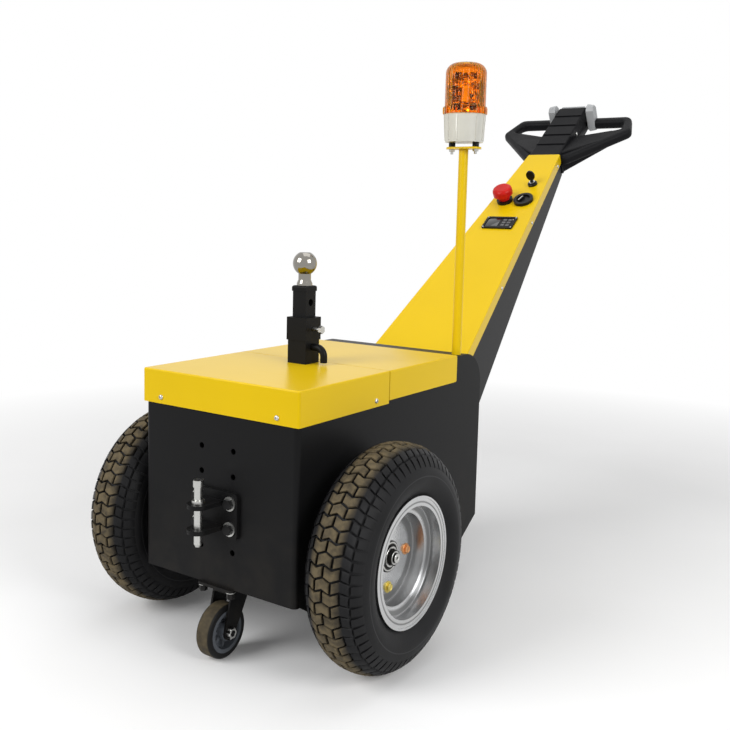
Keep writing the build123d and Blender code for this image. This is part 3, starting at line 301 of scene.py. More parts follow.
def makeFineMarks():  # hairline scuffs from handling
    group, entry, leave = startGroup(
        "fineMarks",
        [
            ("Vector", "NodeSocketVector", None),
            ("Scale", "NodeSocketFloat", 18.0),
            ("Amount", "NodeSocketFloat", 0.3),
        ],
        [("Marks", "NodeSocketFloat")],
    )
    stretch = addNode(group, "ShaderNodeMapping")
    stretch.inputs["Rotation"].default_value = (0.4, 0.7, 0.5)
    stretch.inputs["Scale"].default_value = (1.0, 14.0, 14.0)
    group.links.new(entry.outputs["Vector"], stretch.inputs["Vector"])
    lines = addNode(group, "ShaderNodeTexNoise")
    lines.inputs["Detail"].default_value = 4.0
    group.links.new(stretch.outputs["Vector"], lines.inputs["Vector"])
    group.links.new(entry.outputs["Scale"], lines.inputs["Scale"])
    sharp = rangeNode(group, lines.outputs["Fac"], 0.66, 0.74)
    group.links.new(mathNode(group, "MULTIPLY", sharp, entry.outputs["Amount"], True), leave.inputs["Marks"])
    return group


def makeMouldGrain():  # fine pebble of a moulded plastic
    group, entry, leave = startGroup(
        "mouldGrain",
        [("Vector", "NodeSocketVector", None), ("Scale", "NodeSocketFloat", 900.0)],
        [("Height", "NodeSocketFloat"), ("Tone", "NodeSocketFloat")],
    )
    pebble = addNode(group, "ShaderNodeTexVoronoi")
    group.links.new(entry.outputs["Vector"], pebble.inputs["Vector"])
    group.links.new(entry.outputs["Scale"], pebble.inputs["Scale"])
    cloud = addNode(group, "ShaderNodeTexNoise")
    cloud.inputs["Scale"].default_value = 12.0
    cloud.inputs["Detail"].default_value = 4.0
    group.links.new(entry.outputs["Vector"], cloud.inputs["Vector"])
    group.links.new(pebble.outputs["Distance"], leave.inputs["Height"])
    group.links.new(rangeNode(group, cloud.outputs["Fac"], 0.3, 0.7), leave.inputs["Tone"])
    return group


paintSkin = makePaintSkin()
shopDust = makeShopDust()
fineMarks = makeFineMarks()
mouldGrain = makeMouldGrain()
dustColour = (0.20, 0.165, 0.12, 1)


# materials
class Finish:
    def __init__(self, name):
        self.material = bpy.data.materials.new(name)
        self.material.use_nodes = True
        self.tree = self.material.node_tree
        self.shader = self.tree.nodes["Principled BSDF"]
        coords = addNode(self.tree, "ShaderNodeTexCoord")
        self.place = coords.outputs["Object"]

    def group(self, group, **values):
        node = addNode(self.tree, "ShaderNodeGroup", node_tree=group)
        self.tree.links.new(self.place, node.inputs["Vector"])
        for label, value in values.items():
            node.inputs[label].default_value = value
        return node

    def mix(self, mask, first, second):
        node = addNode(self.tree, "ShaderNodeMix", data_type="RGBA")
        self.tree.links.new(mask, node.inputs["Factor"])
        for socket, value in ((node.inputs[6], first), (node.inputs[7], second)):
            if isinstance(value, tuple):
                socket.default_value = value
            else:
                self.tree.links.new(value, socket)
        return node.outputs[2]

    def bump(self, height, strength, distance):
        node = addNode(self.tree, "ShaderNodeBump")
        node.inputs["Strength"].default_value = strength
        node.inputs["Distance"].default_value = distance
        self.tree.links.new(height, node.inputs["Height"])
        self.tree.links.new(node.outputs["Normal"], self.shader.inputs["Normal"])

    def feed(self, label, output):
        self.tree.links.new(output, self.shader.inputs[label])

    def fix(self, **values):
        for label, value in values.items():
            self.shader.inputs[label.replace("_", " ")].default_value = value


def shade(colour, factor):
    return tuple(channel * factor for channel in colour) + (1,)


def paintedSteel(name, colour, rough, ripple=0.15, dustReach=0.3, dustAndShade=0.06, gloss=0.15):
    finish = Finish(name)
    skin = finish.group(paintSkin, Ripple=150.0)
    dusty = finish.group(shopDust, Reach=dustReach, Amount=dustAndShade)
    marks = finish.group(fineMarks, Scale=14.0, Amount=0.35)
    toned = finish.mix(skin.outputs["Tone"], shade(colour, 0.96), shade(colour, 1.04))
    finish.feed("Base Color", finish.mix(dusty.outputs["Dust"], toned, dustColour))
    marked = mathNode(finish.tree, "MULTIPLY", marks.outputs["Marks"], 0.3)
    dulled = mathNode(finish.tree, "MULTIPLY", dusty.outputs["Dust"], 0.5)
    grown = mathNode(finish.tree, "ADD", marked, dulled)
    finish.feed("Roughness", mathNode(finish.tree, "ADD", grown, rough, True))
    finish.bump(skin.outputs["Height"], ripple, 0.0004)
    finish.fix(Specular_IOR_Level=gloss)
    return finish.material


def platedMetal(name, colour, rough, streak=0.12):
    finish = Finish(name)
    skin = finish.group(paintSkin, Ripple=420.0)
    marks = finish.group(fineMarks, Scale=60.0, Amount=0.8)
    toned = finish.mix(skin.outputs["Tone"], shade(colour, 0.82), shade(colour, 1.05))
    finish.feed("Base Color", finish.mix(marks.outputs["Marks"], toned, shade(colour, 0.55)))
    worn = mathNode(finish.tree, "MULTIPLY", skin.outputs["Tone"], streak)
    finish.feed("Roughness", mathNode(finish.tree, "ADD", worn, rough, True))
    finish.bump(skin.outputs["Height"], 0.08, 0.0002)
    finish.fix(Metallic=1.0)
    return finish.material


def fromAxle(tree, place):  # distance from the drive axle's line, and the place along it
    split = addNode(tree, "ShaderNodeSeparateXYZ")
    tree.links.new(place, split.inputs[0])
    alongY = mathNode(tree, "SUBTRACT", split.outputs["Y"], axle.y)
    upZ = mathNode(tree, "SUBTRACT", split.outputs["Z"], axle.z)
    squares = mathNode(
        tree, "ADD", mathNode(tree, "MULTIPLY", alongY, alongY), mathNode(tree, "MULTIPLY", upZ, upZ)
    )
    return mathNode(tree, "SQRT", squares), split.outputs["X"]


def bandNode(tree, value, low, high, soft):  # 1 between low and high
    rise = rangeNode(tree, value, low - soft, low + soft)
    fall = rangeNode(tree, value, high + soft, high - soft)
    return mathNode(tree, "MULTIPLY", rise, fall)


def castorRubber(name, faceHalf, soft):  # black sides and a dusty running face
    finish = Finish(name)
    tree = finish.tree
    pebble = finish.group(mouldGrain, Scale=700.0)
    split = addNode(tree, "ShaderNodeSeparateXYZ")
    tree.links.new(finish.place, split.inputs[0])
    aside = mathNode(tree, "ABSOLUTE", split.outputs["X"])
    face = rangeNode(tree, aside, faceHalf + soft, faceHalf - soft)
    cloud = addNode(tree, "ShaderNodeTexNoise")
    cloud.inputs["Scale"].default_value = 90.0
    cloud.inputs["Detail"].default_value = 5.0
    tree.links.new(finish.place, cloud.inputs["Vector"])
    mask = mathNode(tree, "MULTIPLY", face, rangeNode(tree, cloud.outputs["Fac"], 0.3, 0.65, 0.45, 1.0))
    rubber = finish.mix(pebble.outputs["Tone"], (0.008, 0.008, 0.008, 1), (0.013, 0.013, 0.013, 1))
    finish.feed("Base Color", finish.mix(mask, rubber, (0.088, 0.070, 0.042, 1)))
    finish.feed("Roughness", rangeNode(tree, mask, 0.0, 1.0, 0.5, 0.8))
    finish.bump(pebble.outputs["Height"], 0.2, 0.0003)
    finish.fix(Specular_IOR_Level=0.15)
    return finish.material


def wheelSilver(name, colour, rough, settings):  # silver paint with painted shade darkening the well and the seam line
    finish = Finish(name)
    tree = finish.tree
    skin = finish.group(paintSkin, Ripple=420.0)
    marks = finish.group(fineMarks, Scale=60.0, Amount=0.6)
    radius = fromAxle(tree, finish.place)[0]
    # painted shade: the well bands and a thin line at the seam are darkened
    inner, outer = (bandNode(tree, radius, *shadedWell) for shadedWell in settings["shadedWells"])
    offSeam = mathNode(tree, "ABSOLUTE", mathNode(tree, "SUBTRACT", radius, settings["seam"]))
    seam = rangeNode(tree, offSeam, *settings["seamSoft"])
    shadedWell = mathNode(tree, "MAXIMUM", mathNode(tree, "MAXIMUM", inner, outer), seam)
    toned = finish.mix(skin.outputs["Tone"], shade(colour, 0.86), shade(colour, 1.05))
    shaded = finish.mix(mathNode(tree, "MULTIPLY", shadedWell, settings["shadeShare"]), toned, settings["dustAndShade"])
    finish.feed("Base Color", finish.mix(marks.outputs["Marks"], shaded, shade(colour, 0.6)))
    finish.feed("Roughness", rangeNode(tree, shadedWell, 0.0, 1.0, rough, rough + 0.15))
    finish.bump(skin.outputs["Height"], 0.08, 0.0002)
    finish.fix(Metallic=1.0)
    return finish.material


def crinkledFoil(name, scale):  # a lamp's mirror with pressed facets, painted by turns with glints and painted shade
    finish = Finish(name)
    tree = finish.tree
    facets = addNode(tree, "ShaderNodeTexVoronoi")
    facets.inputs["Scale"].default_value = scale
    tree.links.new(finish.place, facets.inputs["Vector"])
    split = addNode(tree, "ShaderNodeSeparateColor")
    tree.links.new(facets.outputs["Color"], split.inputs[0])
    # painted glints and painted shade: each facet is coloured pale yellow or dark brown at random
    paintedGlint = rangeNode(tree, split.outputs[0], 0.35, 0.65)
    finish.feed("Base Color", finish.mix(paintedGlint, (0.34, 0.24, 0.09, 1), (0.97, 0.92, 0.74, 1)))
    finish.feed("Roughness", rangeNode(tree, split.outputs[1], 0.0, 1.0, 0.05, 0.18))
    finish.bump(facets.outputs["Distance"], 0.9, 0.004)
    finish.fix(Metallic=1.0)
    return finish.material


def mouldedPlastic(name, colour, rough, grain=0.2, coat=0.0, gloss=0.5):
    finish = Finish(name)
    pebble = finish.group(mouldGrain, Scale=900.0)
    toned = finish.mix(pebble.outputs["Tone"], shade(colour, 0.9), shade(colour, 1.1))
    finish.feed("Base Color", toned)
    spread = mathNode(finish.tree, "MULTIPLY", pebble.outputs["Tone"], 0.12)
    finish.feed("Roughness", mathNode(finish.tree, "ADD", spread, rough, True))
    finish.bump(pebble.outputs["Height"], grain, 0.0003)
    finish.fix(Coat_Weight=coat, Coat_Roughness=0.08, Specular_IOR_Level=gloss)
    return finish.material


def amberLens(name, flutes):  # clear amber with upright flutes
    finish = Finish(name)
    tree = finish.tree
    centre = middleOf("beacon_lens")
    skin = finish.group(paintSkin, Ripple=90.0)
    split = addNode(tree, "ShaderNodeSeparateXYZ")
    tree.links.new(finish.place, split.inputs[0])
    alongX = mathNode(tree, "SUBTRACT", split.outputs["X"], centre.x)
    alongY = mathNode(tree, "SUBTRACT", split.outputs["Y"], centre.y)
    turn = mathNode(tree, "ARCTAN2", alongY, alongX)
    wave = mathNode(tree, "SINE", mathNode(tree, "MULTIPLY", turn, flutes))
    deep, pale = (0.88, 0.36, 0.002, 1), (0.97, 0.47, 0.006, 1)
    finish.feed("Base Color", finish.mix(skin.outputs["Tone"], deep, pale))
    finish.feed("Roughness", rangeNode(tree, skin.outputs["Tone"], 0.0, 1.0, 0.02, 0.06))
    finish.bump(rangeNode(tree, wave, -1.0, 1.0), 0.7, 0.0012)
    finish.fix(Transmission_Weight=1.0, IOR=1.2)
    return finish.material


def treadRubber(name, settings):  # dusty where the crown runs on the floor, black in the grooves
    finish = Finish(name)
    tree = finish.tree
    pebble = finish.group(mouldGrain, Scale=500.0)
    radius, sideways = fromAxle(tree, finish.place)
    across = mathNode(tree, "ABSOLUTE", sideways)
    offMiddle = mathNode(tree, "ABSOLUTE", mathNode(tree, "SUBTRACT", across, abs(axle.x)))
    portion = mathNode(tree, "DIVIDE", offMiddle, settings["shoulderHalf"])
    share = mathNode(tree, "POWER", portion, settings["crownCurve"])
    levelled = mathNode(tree, "ADD", radius, mathNode(tree, "MULTIPLY", share, settings["shoulderDrop"]))
    worn = rangeNode(tree, levelled, settings["dustFrom"], settings["dustFull"])
    half, soft = settings["dustHalf"], settings["dustSoft"]
    crown = rangeNode(tree, offMiddle, half + soft, half - soft)
    # painted highlight: a thin lighter ring round the wall stands for a moulded ridge
    fromLine = mathNode(tree, "ABSOLUTE", mathNode(tree, "SUBTRACT", radius, settings["lineRadius"]))
    highlightLine = rangeNode(tree, fromLine, *settings["lineSoft"])
    cloud = addNode(tree, "ShaderNodeTexNoise")
    cloud.inputs["Scale"].default_value = 70.0
    cloud.inputs["Detail"].default_value = 6.0
    tree.links.new(finish.place, cloud.inputs["Vector"])
    patchy = rangeNode(tree, cloud.outputs["Fac"], 0.3, 0.62, 0.3, 1.0)
    mask = mathNode(tree, "MULTIPLY", mathNode(tree, "MULTIPLY", worn, crown), patchy)
    rubber = finish.mix(pebble.outputs["Tone"], *settings["blacks"])
    highlighted = finish.mix(highlightLine, rubber, settings["highlightColour"])
    finish.feed("Base Color", finish.mix(mask, highlighted, settings["dustColour"]))
    finish.feed("Roughness", rangeNode(tree, mask, 0.0, 1.0, 0.5, 0.85))
    finish.bump(pebble.outputs["Height"], 0.25, 0.0004)
    finish.fix(Specular_IOR_Level=0.13)
    return finish.material


tyreLook = {
    "pairs": 31,  # pairs of block rows round the tyre
    "blockWidth": 0.030,
    "groove": 0.0036,
    "blockDepth": 0.0065,
    "blockShrink": 0.93,  # the top of a block against its foot
    "blockEdge": 0.0006,
    "zigzag": 0.0065,  # how far the cross grooves swing along the tread
    "rows": ((-1.46, -1, 0, 1, 1.46), (-1.5, -0.5, 0.5, 1.5)),  # block edges, in block widths
    "shoulderHalf": 0.044,
    "shoulderDrop": 0.0165,
    "crownCurve": 2.4,
    "lugStations": ((0.0485, 0.0215), (0.0525, 0.0275), (0.0565, 0.0352)),  # x and its drop
    "lugShare": 0.8,  # a lug against a block, along the tread
    "lugReach": 0.0004,  # how near a corner lies to its station
    "crownSteps": 24,
    "wallSteps": 8,
    "halfWidth": 0.061,
    "wideRadius": 0.150,
    "beadHalf": 0.0465,
    "beadTop": 0.118,
    "beadRadius": 0.1045,
    "ringSteps": 104,
    "dustFrom": 0.2002,
    "dustFull": 0.2034,
    "dustHalf": 0.0255,
    "dustSoft": 0.006,
    "lineRadius": 0.1535,  # a thin lighter line round the wall: painted highlight of a moulded ridge
    "lineSoft": (0.0011, 0.0004),
    "blacks": ((0.0075, 0.0075, 0.008, 1), (0.013, 0.013, 0.014, 1)),
    "highlightColour": (0.032, 0.032, 0.033, 1),
    "dustColour": (0.142, 0.112, 0.066, 1),
    "smoothDeg": 40,
}

rimLook = {
    "shadedWells": ((0.0645, 0.0815, 0.004), (0.0885, 0.0985, 0.002)),  # bands of painted shade in the well: from, to, soft edge
    "seam": 0.1065,
    "seamSoft": (0.0022, 0.0008),
    # painted shade: share of the dark colour below in the well bands and the seam line
    "shadeShare": 0.62,
    "dustAndShade": (0.035, 0.034, 0.032, 1),
}

looks = {
    "body_black": paintedSteel(
        "blackPowderCoat", (0.0062, 0.0062, 0.0066), rough=0.42, ripple=0.12, dustReach=0.34, gloss=0.1
    ),
    "lid_yellow": paintedSteel(
        "yellowPowderCoat", (0.80, 0.535, 0.002), rough=0.3, ripple=0.1, dustReach=0.1, dustAndShade=0.0, gloss=0.2
    ),
    "tyre": treadRubber("turfTyre", tyreLook),
    "rim_silver": wheelSilver("silverRim", (0.60, 0.605, 0.61), rough=0.2, settings=rimLook),
    "hub_black": paintedSteel("blackHub", (0.007, 0.007, 0.007), rough=0.38),
    "zinc": platedMetal("brightZinc", (0.56, 0.56, 0.54), rough=0.24),
    # the ball's colour is dimmed and warmed as a painted reflection of dark surroundings and the yellow lid
    "chrome": platedMetal("polishedBall", (0.31, 0.295, 0.265), rough=0.07, streak=0.08),
    "head_plastic": mouldedPlastic(
        "headMoulding", (0.0062, 0.0062, 0.0072), rough=0.46, grain=0.3, gloss=0.1
    ),
    "grey_plastic": mouldedPlastic("greyThrottle", (0.40, 0.41, 0.42), rough=0.36),
    "red_plastic": mouldedPlastic("stopRed", (0.56, 0.010, 0.006), rough=0.28, grain=0.05, gloss=0.2),
    "panel_plastic": mouldedPlastic("panelBlack", (0.006, 0.006, 0.007), rough=0.24, grain=0.08, gloss=0.2),
    "beacon_white": mouldedPlastic("beaconBase", (0.66, 0.65, 0.58), rough=0.3, grain=0.05, coat=0.3),
    "amber": amberLens("amberLens", flutes=36),
    "reflector": crinkledFoil("lampReflector", scale=95.0),
    "lamp_white": mouldedPlastic("lampGlass", (0.8, 0.76, 0.62), rough=0.2, grain=0.02),
    "castor_tread": castorRubber("castorTread", faceHalf=0.0125, soft=0.0012),
    "castor_core": mouldedPlastic("castorCore", (0.095, 0.105, 0.120), rough=0.42, gloss=0.25),
    "dark_steel": paintedSteel("darkSteel", (0.007, 0.007, 0.0074), rough=0.42, ripple=0.2),
    "battery_case": mouldedPlastic("batteryCase", (0.02, 0.02, 0.022), rough=0.5),
}
copperZinc = platedMetal("copperZinc", (0.72, 0.36, 0.16), rough=0.28)
yellowZinc = platedMetal("yellowZinc", (0.72, 0.58, 0.16), rough=0.28)
displayPane = mouldedPlastic("displayPane", (0.006, 0.008, 0.011), rough=0.05, grain=0.0, coat=0.6)
keyGrey = mouldedPlastic("keyGrey", (0.11, 0.11, 0.115), rough=0.4, grain=0.1)

for entry in frame["record"]["subparts"]:
    node = frame["nodes"][entry["node"]]
    node.data.materials.clear()
    node.data.materials.append(looks[entry["material_slot"]])
print("stage: finishes on", len(frame["nodes"]), "parts")


# drive tyres: a spun carcass with zigzag blocks and shoulder lugs
def crownHeight(x, look):
    return tyreRadius - look["shoulderDrop"] * (abs(x) / look["shoulderHalf"]) ** look["crownCurve"]


def swing(x, look):  # the cross grooves run in a zigzag with its peak at the middle
    part = abs(x) / (look["blockWidth"] / 2) % 2
    return look["zigzag"] * (0.5 - min(part, 2 - part))


def rawBlock(x0, x1, depth, length):
    clearSelection()
    bpy.ops.mesh.primitive_cube_add(size=1, location=((x0 + x1) / 2, 0, -depth / 2))
    block = bpy.context.object
    block.scale = (x1 - x0, length, depth)
    bpy.ops.object.transform_apply(location=True, rotation=True, scale=True)
    return block


def cutAcross(x):  # an edge loop across the active block
    bpy.ops.object.mode_set(mode="EDIT")
    bpy.ops.mesh.select_all(action="SELECT")
    bpy.ops.mesh.bisect(plane_co=(x, 0, 0), plane_no=(1, 0, 0))
    bpy.ops.object.mode_set(mode="OBJECT")


def treadBlock(x0, x1, length, look):
    block = rawBlock(x0, x1, 2 * look["blockDepth"], length)
    pick(block, "FACE", facesUp)
    shrink = look["blockShrink"]
    bpy.ops.transform.resize(value=(shrink, shrink, 1), center_override=((x0 + x1) / 2, 0, 0))
    bpy.ops.mesh.bevel(offset=look["blockEdge"], segments=1, affect="EDGES")
    cutAcross(round((x0 + x1) / look["blockWidth"]) * look["blockWidth"] / 2)  # at the zigzag's turn
    for vertex in block.data.vertices:
        vertex.co.y += swing(vertex.co.x, look)
        vertex.co.z += crownHeight(vertex.co.x, look)
    return block


def shoulderLug(side, inner, length, look):
    stations = ((inner, tyreRadius - crownHeight(inner, look)),) + look["lugStations"]
    low, high = sorted((side * stations[0][0], side * stations[-1][0]))
    block = rawBlock(low, high, 2 * look["blockDepth"], length * look["lugShare"])
    for station in stations[1:-1]:
        cutAcross(side * station[0])
    for x, drop in stations:
        pick(block, "VERT", lambda vertex, x=x: abs(vertex.co.x - side * x) < look["lugReach"])
        bpy.ops.transform.translate(value=(0, swing(inner, look), tyreRadius - drop))
    bpy.ops.object.mode_set(mode="OBJECT")
    return block


def treadPair(look):
    pitch = pi * tyreRadius / look["pairs"]
    length = pitch - look["groove"]
    gap = look["groove"] / 2
    wide = look["blockWidth"]
    blocks = []
    for row, edges in enumerate(look["rows"]):
        start = len(blocks)
        for left, right in zip(edges, edges[1:]):
            blocks.append(treadBlock(left * wide + gap, right * wide - gap, length, look))
        for side in (-1, 1):
            blocks.append(shoulderLug(side, edges[-1] * wide + gap / 2, length, look))
        for block in blocks[start:]:
            block.rotation_euler.x = -row * pitch / tyreRadius
    return joinAll(blocks, "treadPair")


def carcass(look):
    half, wide = look["halfWidth"], look["wideRadius"]
    rise = tyreRadius - look["blockDepth"] - wide
    section = []
    for number in range(look["crownSteps"] + 1):  # round the crown from side to side
        turn = pi * number / look["crownSteps"]
        section.append((half * cos(turn), wide + rise * sin(turn)))
    wall = []
    for number in range(1, look["wallSteps"] + 1):  # down the wall to the rim's lip, then to the bead
        part = number / look["wallSteps"]
        wall.append((half + (look["beadHalf"] - half) * part ** 2, wide - (wide - look["beadTop"]) * part))
    wall.append((look["beadHalf"], look["beadRadius"]))
    section += [(-across, radius) for across, radius in wall]
    section += reversed(wall)
    spots = [(across, 0, radius) for across, radius in section]
    return spinUp(spots, "NOTHING", look["ringSteps"], 2 * pi, (1, 0, 0))


def driveTyres(look):
    pair = treadPair(look)
    ring = carcass(look)
    copies = copiesOf(pair, look["pairs"])
    for number, copy in enumerate(copies):
        copy.rotation_euler.x = 2 * pi * number / look["pairs"]
    tyre = joinAll([ring] + copies, "treaded_tyre_right")
    grab(tyre)
    bpy.ops.object.duplicate()
    other = bpy.context.object
    other.name = "treaded_tyre_left"
    for piece, side in ((tyre, "right"), (other, "left")):
        piece.location = middleOf("tyre_" + side)
        settle(piece, "wheel_" + side, looks["tyre"], look["smoothDeg"])
        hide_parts("tyre_" + side)


driveTyres(tyreLook)
print("stage: drive tyres")


# wheel bolts, hub rings and valve stems
wheelBolt = {
    "pcd": 0.112,
    "count": 4,
    "startDeg": -2,
    "probe": 0.2,  # how far out the search for the rim's face starts
    "head": (0.0075, 0.0065),  # radius, height
    "headShares": ((1, 0.86), (0.9, 1), (0.62, 1), (0.55, 0.93)),
    "washer": (0.0105, 0.0016),  # radius, height
    "washerShares": ((1, 0), (1, 0.8), (0.96, 1)),
}


def hexBolt(name, look):
    washer = turnUp(name, segments=24, steps=shaped(look["washerShares"], *look["washer"]))
    foot = (look["head"][0], look["washer"][1] / 2)
    head = turnUp(name + "Head", segments=6, steps=[foot] + shaped(look["headShares"], *look["head"]))
    return joinAll([washer, head], name)


def wheelBolts(look):
    for side, sign in (("left", -1), ("right", 1)):
        centre = middleOf("tyre_" + side)
        face = discFace(side, sign, look)
        for finish, start in ((copperZinc, 0), (yellowZinc, 1)):
            places = []
            for number in range(start, look["count"], 2):
                turn = radians(look["startDeg"] + 360 / look["count"] * number)
                spot = centre + look["pcd"] / 2 * Vector((0, cos(turn), sin(turn)))
                spot.x = face
                places.append((spot, (sign, 0, 0)))
            bolts = stamp(hexBolt("boltMaster", look), places, "wheel_bolts_%s_%d" % (side, start + 1))
            settle(bolts, "wheel_" + side, finish)


def discFace(side, sign, look):  # outer face of the rim's disc, met from outside at the bolt circle
    centre = middleOf("tyre_" + side)
    start = centre + Vector((sign * look["probe"], look["pcd"] / 2, 0))
    hit = meet("rim_" + side, start, (-sign, 0, 0))
    return hit[0].x if hit else centre.x


wheelBolts(wheelBolt)

hubLook = {  # bright rings: outer and inner radius, height, and the seat's depth behind the shaft's tip
    "retaining": (0.0265, 0.0235, 0.0012, 0.0145),
    "washer": (0.0186, 0.0150, 0.0010, 0.0120),
    "nut": (0.0124, 0.0093, 0.0010, 0.0040),
    "tip": (0.0086, 0.0030, 0.0008, 0.0),
}


def hubRings(look):
    for side, sign in (("left", -1), ("right", 1)):
        low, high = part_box("hub_" + side)
        centre = middleOf("tyre_" + side)
        tip = high[0] if sign > 0 else low[0]
        rings = []
        for label, (outer, inner, height, behind) in look.items():
            place = ((tip - sign * behind, centre.y, centre.z), (sign, 0, 0))
            rings.append(stamp(ringPiece("ringMaster", outer, inner, height), [place], label))
        settle(joinAll(rings, "hub_rings_" + side), "wheel_" + side, looks["zinc"])


hubRings(hubLook)

valveLook = {
    "radius": 0.096,
    "turnDeg": 165,
    "probe": 0.2,
    "steps": [
        (0.0052, -0.001), (0.0052, 0.003), (0.0036, 0.006), (0.0032, 0.014), (0.0037, 0.015),
        (0.0037, 0.021), (0.0027, 0.0225),
    ],
}


def valveStems(look):
    for side, sign in (("left", -1), ("right", 1)):
        turn = radians(look["turnDeg"])
        centre = middleOf("tyre_" + side)
        spot = centre + look["radius"] * Vector((0, cos(turn), sin(turn)))
        start = Vector((centre.x + sign * look["probe"], spot.y, spot.z))
        hit = meet("rim_" + side, start, (-sign, 0, 0))
        if hit:
            spot.x = hit[0].x
        master = turnUp("valveMaster", segments=16, steps=look["steps"])
        stem = stamp(master, [(spot, (sign, 0, 0))], "valve_stem_" + side)
        settle(stem, "wheel_" + side, looks["tyre"])


valveStems(valveLook)
print("stage: wheel bolts, hub rings and valves")


# screws in the front lid's skirt
lidScrew = {"size": (0.0048, 0.0030), "up": 0.012, "side": 0.045, "front": 0.137}
screwLook = {
    "sink": 0.0005,
    "shares": ((1, 0.35), (0.86, 0.75), (0.6, 1), (0.42, 1), (0.38, 0.45)),  # of radius and height
}


def roundScrew(radius, height):
    steps = [(radius, -screwLook["sink"])] + shaped(screwLook["shares"], radius, height)
    return turnUp("screwMaster", segments=20, steps=steps)


def screwsAt(places, size, name):
    settle(stamp(roundScrew(*size), places, name), "chassis", looks["zinc"])


def lidScrews(look):
    low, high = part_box("front_lid")
    up = low[2] + look["up"]
    places = []
    for sign in (-1, 1):
        places.append(((sign * look["front"], low[1], up), (0, -1, 0)))
        edge = high[0] if sign > 0 else low[0]
        places.append(((edge, high[1] - look["side"], up), (sign, 0, 0)))
    screwsAt(places, look["size"], "front_lid_screws")


lidScrews(lidScrew)
print("stage: lid screws")


# small fittings on the tiller's cover
tillerLook = {
    "angleDeg": 36,
    "displayFromTip": 0.343,
    "displayMiddle": 0.0025,  # the display's middle over the cover
    "screwFromTip": (0.033, 0.310, 0.588, 0.865),
    "screwBelow": 0.020,
    "probe": 0.3,  # how far aside the search for the cover's wall starts
    "screw": (0.0045, 0.0028),
}
slope = radians(tillerLook["angleDeg"])
alongTiller = Vector((0, cos(slope), sin(slope)))
offTiller = Vector((0, -sin(slope), cos(slope)))


def onTiller(fromTip, across, up):  # a spot over the cover, measured from its tip
    underDisplay = middleOf("display") - offTiller * tillerLook["displayMiddle"]
    tip = underDisplay + alongTiller * tillerLook["displayFromTip"]
    return tip - alongTiller * fromTip + offTiller * up + Vector((across, 0, 0))


def laidOut(fromTip, across, up, turnDeg=0):  # the matrix that lays a flat piece on the cover
    lean = Matrix.Rotation(slope, 4, "X") @ Matrix.Rotation(radians(turnDeg), 4, "Z")
    return Matrix.Translation(onTiller(fromTip, across, up)) @ lean


def coverScrews(look):
    places = []
    for sign in (-1, 1):
        for fromTip in look["screwFromTip"]:
            start = onTiller(fromTip, sign * look["probe"], -look["screwBelow"])
            hit = meet("tiller_cover", start, (-sign, 0, 0))
            if hit:
                places.append(hit)
    screwsAt(places, look["screw"], "cover_screws")


displayLook = {
    "floorUp": 0.003,
    "bezelUp": 0.005,
    "edge": 0.0004,
    "screws": (0.0405, 0.0215, 0.0021, 0.0011),  # across, along, radius, height
    "pane": (-0.0185, 0.036, 0.034, 0.0011),  # across, width, length, height
    "keys": (0.0095, 0.0075, 0.0014),  # width, length, height
    "keyColumns": (0.0125, 0.0265),
    "keyRows": (-0.0115, 0.0, 0.0115),
    "lamp": (0.0345, 0.0140, 0.0016),  # across, along, radius
    "lampSteps": ((1, 0), (1, 0.0005), (0.8, 0.0011), (0.4, 0.0014)),  # share of the radius, height
}


def displayFittings(look):
    middle = tillerLook["displayFromTip"]
    across, along, *size = look["screws"]
    corners = [(x, y) for x in (-across, across) for y in (-along, along)]
    spots = [laidOut(middle - y, x, look["bezelUp"]) for x, y in corners]
    fitOn(roundScrew(*size), spots, "display_screws", looks["zinc"])
    across, *size = look["pane"]
    spots = [laidOut(middle, across, look["floorUp"])]
    fitOn(slab("paneMaster", *size, look["edge"]), spots, "display_pane", displayPane)
    grid = [(x, y) for x in look["keyColumns"] for y in look["keyRows"]]
    spots = [laidOut(middle - y, x, look["floorUp"]) for x, y in grid]
    fitOn(slab("padMaster", *look["keys"], look["edge"]), spots, "display_keys", keyGrey)
    across, along, radius = look["lamp"]
    lamp = turnUp("lampMaster", segments=16, steps=shaped(look["lampSteps"], radius, 1))
    spots = [laidOut(middle - along, across, look["floorUp"])]
    fitOn(lamp, spots, "display_lamp", looks["lamp_white"])


switchLook = {
    "keySpot": (0.156, 0.024),  # from the tip, across
    "keyRing": (0.0086, 0.0052, 0.0007),  # outer and inner radius, height
    "keyProbe": (0.0070, 0.013),  # where the barrel's face is met
    "keyUp": 0.010,  # its height if it isn't met
    "softEdge": 0.0002,
    "socketSpot": (0.236, 0.028),
    "socketFloor": 0.004,
    "lever": (0.008, 0.024, 0.0065, 0.0012),  # width, length, height, edge
    "leverAside": -0.0075,
    "leverTurnDeg": -18,
    "highlightLine": (0.0022, 0.019, 0.0005),  # width, length, height of a pale strip: painted highlight on the lever
    "lineSink": 0.0001,
}


